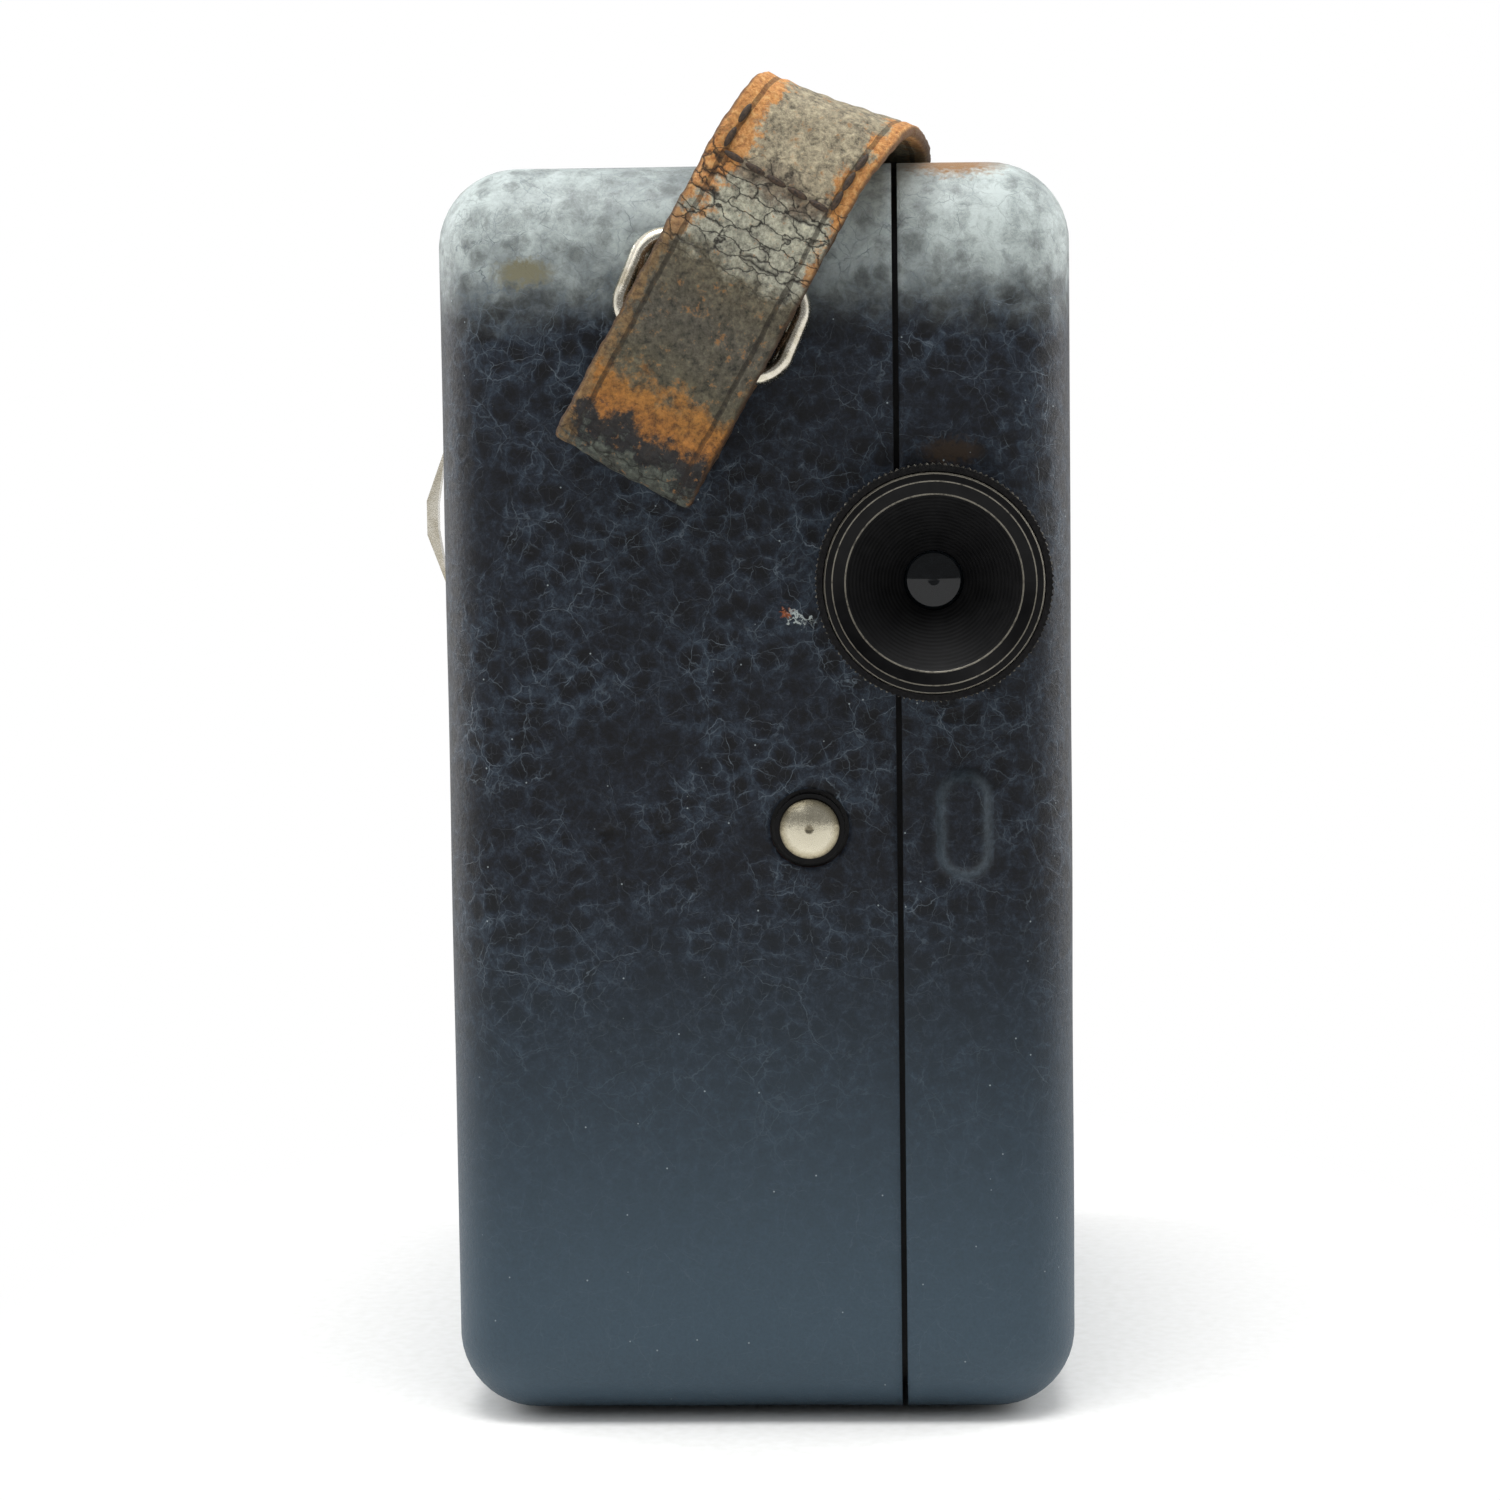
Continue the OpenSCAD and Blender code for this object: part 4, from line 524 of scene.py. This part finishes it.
# Old bridle leather: the black dye is left in a grainy panel, cracked grey where it bends, and
# worn through to orange tan near the fold and at the edges; under the fold and on the inner layer it is painted dark as
# shadow.
strap_leather, tree = new_material("worn_bridle_leather")
mm = add(tree, "VectorMath", {0: add(tree, "TexCoord", out="Object"), "Scale": 1000}, operation="SCALE")
aside = add(tree, "Attribute", out="Fac", attribute_name="aside")
lengthwise = add(tree, "Attribute", out="Fac", attribute_name="lengthwise")
drift = add(tree, "TexNoise", {"Vector": mm, "Scale": 0.42, "Detail": 6.0, "Roughness": 0.72})
tear = add(tree, "Math", {0: drift, 1: -0.5}, operation="ADD")
zone = add(tree, "Math", {0: tear, 1: 9.0, 2: lengthwise}, operation="MULTIPLY_ADD")
zone = add(tree, "MapRange", {0: zone, 1: -4.0, 2: 40.0})
# Colours along the strap by distance from the fold; the stops below 0, under the fold and on the inner layer, are
# painted shadow.
zones = (
    (-3, "#26271f"), (-0.5, "#45463e"), (1.4, "#555a52"), (2.4, "#262628"), (4.0, "#302c29"), (5.0, "#93602a"), (7.4, "#94662f"),
    (8.8, "#55503f"), (14, "#555146"), (19, "#625b49"), (21.2, "#9d9c8c"), (26.2, "#aba996"), (27.6, "#75695a"), (29.5, "#a89d84"),
    (40, "#8f8670"),
)
strap_colour_and_painted_shade = add(tree, "ValToRGB", {0: zone}, ramp=[((v + 4) / 44, colour) for v, colour in zones])
grain = add(tree, "TexNoise", {"Vector": mm, "Scale": 2.2, "Detail": 5.0, "Roughness": 0.7})
pit = add(tree, "TexNoise", {"Vector": mm, "Scale": 0.9, "Detail": 6.0, "Roughness": 0.8})
grit = add(tree, "Math", {0: grain, 1: pit}, operation="ADD")
grit = add(tree, "MapRange", {0: grit, 1: 0.72, 2: 1.28, 3: 0.15, 4: 1.9})
strap_colour_and_painted_shade = add(tree, "Mix", {0: 1.0, 6: strap_colour_and_painted_shade, 7: add(tree, "CombineColor", {0: grit, 1: grit, 2: grit})}, out=2, data_type="RGBA", blend_type="MULTIPLY")
# Tan sides: 1.3 mm at the edges, and wider above the seam's stitches
off_mid = add(tree, "Math", {0: add(tree, "Math", {0: aside, 1: -0.7}, operation="ADD")}, operation="ABSOLUTE")
off_mid = add(tree, "Math", {0: tear, 1: 9.0, 2: off_mid}, operation="MULTIPLY_ADD")
above = add(tree, "MapRange", {0: lengthwise, 1: 19.0, 2: 31.0, 3: 5.9, 4: 3.9})
reach = add(tree, "Math", {0: off_mid, 1: above}, operation="SUBTRACT")
bare = add(tree, "MapRange", {0: reach, 1: 0.0, 2: 0.7})
dull_tan = add(tree, "ValToRGB", {0: grain}, ramp=[(0.3, "#4a3522"), (0.5, "#7d6340"), (0.72, "#a0845a")])
gold_tan = add(tree, "ValToRGB", {0: grain}, ramp=[(0.3, "#9c5a22"), (0.5, "#d8924a"), (0.72, "#f0c27c")])
higher = add(tree, "MapRange", {0: lengthwise, 1: 19.0, 2: 25.0})
worn_end = add(tree, "MapRange", {0: lengthwise, 1: 38.0, 2: 48.0, 3: 1.0, 4: 0.15})
higher = add(tree, "Math", {0: higher, 1: worn_end}, operation="MULTIPLY")
tan_tone = add(tree, "Mix", {0: higher, 6: dull_tan, 7: gold_tan}, out=2, data_type="RGBA")
strap_colour_and_painted_shade = add(tree, "Mix", {0: add(tree, "Math", {0: bare, 1: 0.85}, operation="MULTIPLY"), 6: strap_colour_and_painted_shade, 7: tan_tone}, out=2, data_type="RGBA")
# Scattered rubbed flecks that show tan anywhere
fleck = add(tree, "TexNoise", {"Vector": mm, "Scale": 1.1, "Detail": 6.0, "Roughness": 0.75})
fleck = add(tree, "MapRange", {0: fleck, 1: 0.58, 2: 0.66, 4: 0.8})
strap_colour_and_painted_shade = add(tree, "Mix", {0: fleck, 6: strap_colour_and_painted_shade, 7: linear("#9c6d3e")}, out=2, data_type="RGBA")
# Cross cracks 1.3 mm apart and 3 mm long, open where the strap bends
way = add(tree, "CombineXYZ", {0: add(tree, "Math", {0: aside, 1: 0.36}, operation="MULTIPLY"), 1: add(tree, "Math", {0: lengthwise, 1: 0.8}, operation="MULTIPLY")})
bent = add(tree, "TexNoise", {"Vector": mm, "Scale": 0.9, "Detail": 3.0}, out="Color")
way = add(tree, "VectorMath", {0: bent, 1: (0.9, 0.9, 0.0), 2: way}, operation="MULTIPLY_ADD")
crack = add(tree, "TexVoronoi", {"Vector": way, "Scale": 1.0}, feature="DISTANCE_TO_EDGE", out="Distance")
crack = add(tree, "MapRange", {0: crack, 1: 0.0, 2: 0.06, 3: 1.0, 4: 0.0})
open_up = add(tree, "ValToRGB", {0: zone}, ramp=[(0.05, "#ffffff"), (0.15, "#d0d0d0"), (0.2, "#404040"), (0.5, "#404040"), (0.56, "#ffffff"), (0.72, "#ffffff"), (0.78, "#606060")])
crack = add(tree, "Math", {0: crack, 1: open_up}, operation="MULTIPLY")
strap_colour_and_painted_shade = add(tree, "Mix", {0: crack, 6: strap_colour_and_painted_shade, 7: linear("#1d1814")}, out=2, data_type="RGBA")
line = add(tree, "Math", {0: add(tree, "Math", {0: aside}, operation="ABSOLUTE"), 1: half_w - 1.5, 2: 0.22}, operation="COMPARE")
line = add(tree, "Math", {0: line, 1: 0.55}, operation="MULTIPLY")
strap_colour_and_painted_shade = add(tree, "Mix", {0: line, 6: strap_colour_and_painted_shade, 7: linear("#241b14")}, out=2, data_type="RGBA")
rim = add(tree, "MapRange", {0: add(tree, "Math", {0: aside}, operation="ABSOLUTE"), 1: half_w - 0.35, 2: half_w - 0.1, 4: 0.8})
strap_colour_and_painted_shade = add(tree, "Mix", {0: rim, 6: strap_colour_and_painted_shade, 7: linear("#4a3423")}, out=2, data_type="RGBA")
finish = add(tree, "MapRange", {0: grain, 1: 0.3, 2: 0.7, 3: 0.55, 4: 0.8})
relief = add(tree, "Math", {0: crack, 1: -1.2, 2: grit}, operation="MULTIPLY_ADD")
bump = add(tree, "Bump", {"Height": relief, "Distance": 0.00012, "Strength": 0.9})
shader = add(tree, "BsdfPrincipled", {"Base Color": strap_colour_and_painted_shade, "Roughness": finish, "Normal": bump, "Specular IOR Level": 0.35})
add(tree, "OutputMaterial", {0: shader})

strap_piece = new_piece("hand_strap", strap_points * MM, faces, strap_leather)
for name, values in (("aside", A), ("lengthwise", V)):
    strap_piece.data.attributes.new(name, "FLOAT", "POINT").data.foreach_set("value", values.ravel().astype(np.float32))
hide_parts("strap")
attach(strap_piece, "root")

# Saddle stitches of waxed brown thread at both ends: a row across where the inner end stops, and
# a short column up each side, every stitch bedded in the leather.
stitch_long, stitch_r, stitch_side = 1.9, 0.3, 5.2
seam_at = 28.0
row = [(a, seam_at, 0.0) for a in np.linspace(-4.1, 4.1, 5)]
column = [(stitch_side, seam_at + 1.4 + 2.0 * k, 1.0) for k in range(3)]
column += [(-stitch_side, seam_at + 1.4 + 2.0 * k, 1.0) for k in range(2)]
polar_a, round_a = np.meshgrid(np.linspace(0, math.pi, 9), np.linspace(0, 2 * math.pi, 11)[:-1], indexing="ij")
bead = np.stack([np.cos(polar_a), np.sin(polar_a) * np.cos(round_a), np.sin(polar_a) * np.sin(round_a)], 2)
bead_grid = np.arange(bead.size // 3).reshape(bead.shape[:2])
bead_next = np.roll(bead_grid, -1, 1)
bead_quads = np.stack([bead_grid[:-1], bead_next[:-1], bead_next[1:], bead_grid[1:]], 2).reshape(-1, 4)
beads, bead_faces = [], []
for half_rows in (np.arange(len(at)) < len(at) // 2, np.arange(len(at)) >= len(at) // 2):
    picked = np.flatnonzero(half_rows)
    for a, far, upward in row + column:
        k = picked[np.argmin(np.abs(along[picked] - far))]
        run = along_way[k] * upward + across[k] * (1 - upward)
        over_it = np.cross(outward[k], run)
        seat = centre[k] + across[k] * a + outward[k] * (half_t + 0.04)
        shape = bead[..., :1] * run * stitch_long / 2 + bead[..., 1:2] * over_it * stitch_r
        bead_faces.append(bead_quads + bead.size // 3 * len(beads))
        beads.append((seat + shape + bead[..., 2:] * outward[k] * stitch_r * 0.9).reshape(-1, 3))
thread, tree = new_material("waxed_linen_thread")
mm = add(tree, "VectorMath", {0: add(tree, "TexCoord", out="Object"), "Scale": 1000}, operation="SCALE")
ply = add(tree, "TexNoise", {"Vector": mm, "Scale": 5.0, "Detail": 3.0})
tint = add(tree, "ValToRGB", {0: ply}, ramp=[(0.3, "#17100b"), (0.7, "#4d3a28")])
bump = add(tree, "Bump", {"Height": ply, "Distance": 0.00005})
add(tree, "OutputMaterial", {0: add(tree, "BsdfPrincipled", {"Base Color": tint, "Roughness": 0.7, "Normal": bump})})
stitches = new_piece("strap_stitches", np.concatenate(beads) * MM, np.concatenate(bead_faces), thread)
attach(stitches, "root")

for piece in (strap_piece, stitches):
    shell = bmesh.new()
    shell.from_mesh(piece.data)
    bmesh.ops.remove_doubles(shell, verts=shell.verts, dist=0.000001)
    bmesh.ops.recalc_face_normals(shell, faces=shell.faces)
    shell.to_mesh(piece.data)
    shell.free()


# Strap rings: drawn brass wire bent to a rounded oblong, butted and nickelled, one on each face
wire_d, ring_half, ring_low, ring_high, ring_bend = 1.7, 7.35, -3.85, 4.5, 2.5
ring_x, ring_y, ring_z = -3.4, -47.2, top_z - 12.6
ring_lean, ring_tilt = math.radians(23), math.radians(6.6)


def wire_ring(rear):
    """A round wire carried along a rounded oblong: four quarter circles whose ends join in
    straight lines; then tilted back, leaned over and set in place (turned round for the rear)."""
    turn = np.radians(np.arange(0, 360, 7.5).reshape(4, 12)) + np.radians([3.75])
    mid_x = np.array([1, -1, -1, 1])[:, None] * (ring_half - ring_bend)
    mid_z = np.array([ring_high - ring_bend] * 2 + [ring_low + ring_bend] * 2)[:, None]
    line = np.stack([(mid_x + ring_bend * np.cos(turn)).ravel(), (mid_z + ring_bend * np.sin(turn)).ravel()], 1)
    away = np.stack([np.cos(turn).ravel(), np.sin(turn).ravel()], 1)
    around = np.linspace(0, 2 * math.pi, 21)[:-1]
    r = wire_d / 2
    points = np.stack([
        line[:, None, 0] + r * np.cos(around) * away[:, None, 0],
        np.broadcast_to(r * np.sin(around), (len(line), 20)),
        line[:, None, 1] + r * np.cos(around) * away[:, None, 1],
    ], 2)
    tilt = np.array([[1, 0, 0], [0, math.cos(ring_tilt), math.sin(ring_tilt)], [0, -math.sin(ring_tilt), math.cos(ring_tilt)]])
    c, s = math.cos(ring_lean), math.sin(ring_lean)
    points = points @ tilt.T @ np.array([[c, 0, s], [0, 1, 0], [-s, 0, c]]).T + [ring_x, ring_y, ring_z]
    return points * [1, -1, 1] if rear else points


wires = np.stack([wire_ring(False), wire_ring(True)])
loop = np.arange(wires.size // 3).reshape(wires.shape[:3])
ahead_of, beside = np.roll(loop, -1, 1), np.roll(loop, -1, 2)
wire_faces = np.stack([loop, ahead_of, np.roll(ahead_of, -1, 2), beside], 3).reshape(-1, 4)


def middle(name):
    """Middle of a node's box, in millimetres."""
    return np.mean([list(corner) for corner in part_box(name)], axis=0) / MM


def dress(material, *names):
    """Gives the CAD nodes their finish."""
    for name in names:
        for held in nodes[name].material_slots:
            held.material = material


def finish_of(name, clean, dull, smooth, rough, metal=1.0, blotch=0.5, grain=(7, 7, 7), about=None, deep=0.00001, **more):
    """A metal or lacquer finish: its clean colour with dull patches in drifts of 1 / blotch mm,
    and fine marks, grain of them per millimetre along X, Y and Z. With about, a (y, z) middle,
    the marks are the rings that a lathe leaves round it."""
    made, tree = new_material(name)
    mm = add(tree, "VectorMath", {0: add(tree, "TexCoord", out="Object"), "Scale": 1000}, operation="SCALE")
    drift = add(tree, "TexNoise", {"Vector": mm, "Scale": blotch, "Detail": 5.0, "Roughness": 0.65})
    marks = add(tree, "VectorMath", {0: mm, 1: grain}, operation="MULTIPLY")
    if about is not None:
        flat = add(tree, "VectorMath", {0: mm, 1: (0, about[0], about[1])}, operation="SUBTRACT")
        flat = add(tree, "VectorMath", {0: flat, 1: (0, 1, 1)}, operation="MULTIPLY")
        marks = add(tree, "VectorMath", {0: flat}, out="Value", operation="LENGTH")
        marks = add(tree, "CombineXYZ", {0: add(tree, "Math", {0: marks, 1: grain[0]}, operation="MULTIPLY")})
    marks = add(tree, "TexNoise", {"Vector": marks, "Scale": 1.0, "Detail": 3.0})
    tint = add(tree, "ValToRGB", {0: drift}, ramp=[(0.4, clean), (0.68, dull)])
    polish = add(tree, "MapRange", {0: marks, 1: 0.3, 2: 0.7, 3: smooth, 4: rough})
    bump = add(tree, "Bump", {"Height": marks, "Distance": deep, "Strength": 0.6})
    shader = {"Base Color": tint, "Roughness": polish, "Metallic": metal, "Normal": bump, **more}
    add(tree, "OutputMaterial", {0: add(tree, "BsdfPrincipled", shader)})
    return made


# Fittings: pressed and drawn brass, nickel plated, a warm white gone dull and yellowish in
# patches: strap rings and lugs, key bow, hinge leaves, base plate and their screws.
worn_nickel = finish_of("worn_nickel_plate", "#efe9da", "#c9c0aa", 0.14, 0.3, blotch=0.6)
rings = new_piece("strap_wire_rings", wires * MM, wire_faces, worn_nickel)
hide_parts("strap_rings")
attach(rings, "root")
shell = bmesh.new()
shell.from_mesh(rings.data)
bmesh.ops.recalc_face_normals(shell, faces=shell.faces)
shell.to_mesh(rings.data)
shell.free()
dress(worn_nickel, "strap_lugs", "key_bow", "hinge_screws", "base_screws")
brushed_nickel = finish_of("brushed_nickel_plate", "#c9c4b8", "#978f7e", 0.22, 0.42, blotch=0.25, grain=(9, 0.5, 9))
dress(brushed_nickel, "base_plate", "case_hinge_leaf", "door_hinge_leaf")
# Key disc: nickel plate coloured dark grey, much darker than the other fittings.
grey_nickel = finish_of("dark_grey_nickel_plate", "#6f6c66", "#46433e", 0.25, 0.45, about=middle("key_disc")[1:], grain=(9, 9, 9))
dress(grey_nickel, "key_disc")
# Key bush: vulcanised fibre, reddish brown and matt, turned
dress(finish_of("brown_vulcanised_fibre", "#4b2a1e", "#2e1812", 0.55, 0.75, metal=0.0, about=middle("key_bush")[1:], grain=(5, 5, 5), deep=0.00003), "key_bush")

# Lens: brass blacked with enamel. The knurled ring is dull with bare specks on its teeth, the
# bezel's edges are worn bright, and fine grooves in its cone keep stray light off the glass.
enamel, tree = new_material("black_enamelled_brass")
mm = add(tree, "VectorMath", {0: add(tree, "TexCoord", out="Object"), "Scale": 1000}, operation="SCALE")
flat = add(tree, "VectorMath", {0: mm, 1: (lens_x, 0, lens_z)}, operation="SUBTRACT")
flat = add(tree, "VectorMath", {0: flat, 1: (1, 0, 1)}, operation="MULTIPLY")
radius = add(tree, "VectorMath", {0: flat}, out="Value", operation="LENGTH")
chips = add(tree, "TexNoise", {"Vector": mm, "Scale": 1.4, "Detail": 6.0, "Roughness": 0.75})
chips = add(tree, "MapRange", {0: chips, 1: 0.3, 2: 0.5})
tint = add(tree, "ValToRGB", {0: add(tree, "TexNoise", {"Vector": mm, "Scale": 0.8, "Detail": 5.0})}, ramp=[(0.35, "#030304"), (0.7, "#0c0c0d")])
worn = 0.0
for at_r, width, much in ((9.3, 0.09, 0.9), (8.62, 0.05, 0.55), (7.52, 0.07, 0.5)):
    band = add(tree, "Math", {0: radius, 1: at_r, 2: width}, operation="COMPARE")
    band = add(tree, "Math", {0: band, 1: much}, operation="MULTIPLY")
    worn = add(tree, "Math", {0: band, 1: worn}, operation="MAXIMUM")
worn = add(tree, "Math", {0: worn, 1: chips}, operation="MULTIPLY")
tint = add(tree, "Mix", {0: worn, 6: tint, 7: linear("#a09b8e")}, out=2, data_type="RGBA")
turns = add(tree, "Math", {0: add(tree, "Math", {0: radius, 1: 2 * math.pi / 0.3}, operation="MULTIPLY")}, operation="SINE")
within = add(tree, "Math", {0: radius, 1: 7.4}, operation="LESS_THAN")
grooves = add(tree, "Math", {0: turns, 1: within}, operation="MULTIPLY")
bump = add(tree, "Bump", {"Height": grooves, "Distance": 0.000012, "Strength": 0.6})
polish = add(tree, "MapRange", {0: radius, 1: 7.3, 2: 7.6, 3: 0.6, 4: 0.3})
shader = add(tree, "BsdfPrincipled", {"Base Color": tint, "Metallic": worn, "Roughness": polish, "Normal": bump, "Specular IOR Level": 0.16})
add(tree, "OutputMaterial", {0: shader})
dress(enamel, "lens_mount", "front_bezel", "rear_cell", "button_guide")

knurl, tree = new_material("blacked_knurled_brass")
mm = add(tree, "VectorMath", {0: add(tree, "TexCoord", out="Object"), "Scale": 1000}, operation="SCALE")
flat = add(tree, "VectorMath", {0: mm, 1: (lens_x, 0, lens_z)}, operation="SUBTRACT")
flat = add(tree, "VectorMath", {0: flat, 1: (1, 0, 1)}, operation="MULTIPLY")
radius = add(tree, "VectorMath", {0: flat}, out="Value", operation="LENGTH")
speck = add(tree, "TexNoise", {"Vector": mm, "Scale": 3.2, "Detail": 4.0, "Roughness": 0.7})
tips = add(tree, "MapRange", {0: radius, 1: 9.95, 2: 10.08})
bare = add(tree, "Math", {0: tips, 1: add(tree, "MapRange", {0: speck, 1: 0.46, 2: 0.6})}, operation="MULTIPLY")
tint = add(tree, "ValToRGB", {0: speck}, ramp=[(0.35, "#0b0b0d"), (0.65, "#1f1e1e")])
tint = add(tree, "Mix", {0: bare, 6: tint, 7: linear("#9c978b")}, out=2, data_type="RGBA")
bump = add(tree, "Bump", {"Height": speck, "Distance": 0.00002})
add(tree, "OutputMaterial", {0: add(tree, "BsdfPrincipled", {"Base Color": tint, "Metallic": 0.75, "Roughness": 0.42, "Normal": bump})})
dress(knurl, "iris_ring")

# Glass: two small elements, polished crown glass with a faint haze of age
glass, tree = new_material("polished_crown_glass")
mm = add(tree, "VectorMath", {0: add(tree, "TexCoord", out="Object"), "Scale": 1000}, operation="SCALE")
haze = add(tree, "TexNoise", {"Vector": mm, "Scale": 1.2, "Detail": 4.0})
polish = add(tree, "MapRange", {0: haze, 1: 0.4, 2: 0.7, 3: 0.02, 4: 0.08})
tint = add(tree, "ValToRGB", {0: haze}, ramp=[(0.3, "#0d1013"), (0.7, "#171b1e")])
shader = {"Base Color": tint, "Roughness": polish, "IOR": 1.52, "Transmission Weight": 0.3, "Specular IOR Level": 0.35}
add(tree, "OutputMaterial", {0: add(tree, "BsdfPrincipled", shader)})
dress(glass, "front_glass", "rear_glass")

# Release button: turned and domed, its nickel worn to a warm cream, with dirt at the rim and a
# small pip left in the middle by the lathe.
button, tree = new_material("domed_worn_nickel")
mm = add(tree, "VectorMath", {0: add(tree, "TexCoord", out="Object"), "Scale": 1000}, operation="SCALE")
flat = add(tree, "VectorMath", {0: mm, 1: (button_x, 0, button_z)}, operation="SUBTRACT")
flat = add(tree, "VectorMath", {0: flat, 1: (1, 0, 1)}, operation="MULTIPLY")
radius = add(tree, "VectorMath", {0: flat}, out="Value", operation="LENGTH")
dirt = add(tree, "TexNoise", {"Vector": mm, "Scale": 2.0, "Detail": 5.0, "Roughness": 0.7})
near_rim = add(tree, "Math", {0: add(tree, "Math", {0: dirt, 1: 0.5, 2: -0.25}, operation="MULTIPLY_ADD"), 1: radius}, operation="ADD")
tint = add(tree, "ValToRGB", {0: add(tree, "MapRange", {0: near_rim, 2: 2.7})}, ramp=[
    (0.0, "#857d69"), (0.11, "#9a917b"), (0.17, "#cfc8b2"), (0.7, "#d6cfb9"), (0.86, "#aea58c"), (0.97, "#4d4638"),
])
bump = add(tree, "Bump", {"Height": dirt, "Distance": 0.00003})
polish = add(tree, "MapRange", {0: dirt, 1: 0.35, 2: 0.65, 3: 0.14, 4: 0.3})
add(tree, "OutputMaterial", {0: add(tree, "BsdfPrincipled", {"Base Color": tint, "Metallic": 0.9, "Roughness": polish, "Normal": bump})})
dress(button, "release_button")

# Shell and door: drawn sheet brass, lacquered dull black inside so that no light scatters, worn
# to the metal along the seam. Light trap, lens board, shutter and iris leaves are blacked too.
lacquer = finish_of("dull_black_lacquer", "#111113", "#201f1e", 0.5, 0.7, metal=0.0, blotch=0.3, deep=0.00003)
dress(lacquer, "case_shell", "door_shell", "light_trap", "lens_board")
blacked = finish_of("chemically_blacked_steel", "#19191b", "#2c2a29", 0.35, 0.5, metal=0.6, blotch=0.8, grain=(12, 1, 12))
dress(blacked, "shutter_disc", *[f"iris_leaf_{k}" for k in range(1, 6)])

# Clockwork: brass plates brushed along the case, turned brass wheels and drum, ground steel
# arbors, screws and posts blued by heat, and hard bright springs.
plate_brass = finish_of("brushed_sheet_brass", "#b8934f", "#9a7a42", 0.24, 0.42, blotch=0.12, grain=(9, 0.35, 9))
dress(plate_brass, "main_plate", "motor_plate", "plate_pillars", "plate_feet", "shutter_cock")
for node in ("barrel_drum", "great_wheel", "ratchet_wheel", "tripod_bush"):
    turned_brass = finish_of(f"turned_brass_{node}", "#d0aa5c", "#a07a3c", 0.18, 0.34, about=middle(node)[1:], grain=(8, 8, 8))
    dress(turned_brass, node)
ground_steel = finish_of("ground_steel", "#a3a5a8", "#77787a", 0.2, 0.38, blotch=0.8, grain=(1, 10, 10))
dress(ground_steel, "hinge_pin", "winding_arbor", "second_arbor", "drive_arbor", "governor_arbor", "shutter_shaft")
gate_steel = finish_of("polished_gate_steel", "#b4b6b8", "#8c8d8e", 0.1, 0.24, blotch=0.4, grain=(9, 9, 0.5))
dress(gate_steel, "film_gate", "pressure_plate", "claw_plate", "release_lever")
blued = finish_of("heat_blued_steel", "#1d2638", "#2a2434", 0.14, 0.3, blotch=0.5, grain=(8, 8, 8))
dress(blued, "plate_screws", "shoulder_posts", "click", "mainspring")
spring = finish_of("bright_spring_steel", "#8d9094", "#6a665f", 0.14, 0.28, blotch=0.6, grain=(2, 9, 2))
dress(spring, "pressure_spring", "button_spring", "click_spring", "door_catch", "charger_spring")

[[list(corner) for corner in box] for box in (cad_box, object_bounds())]
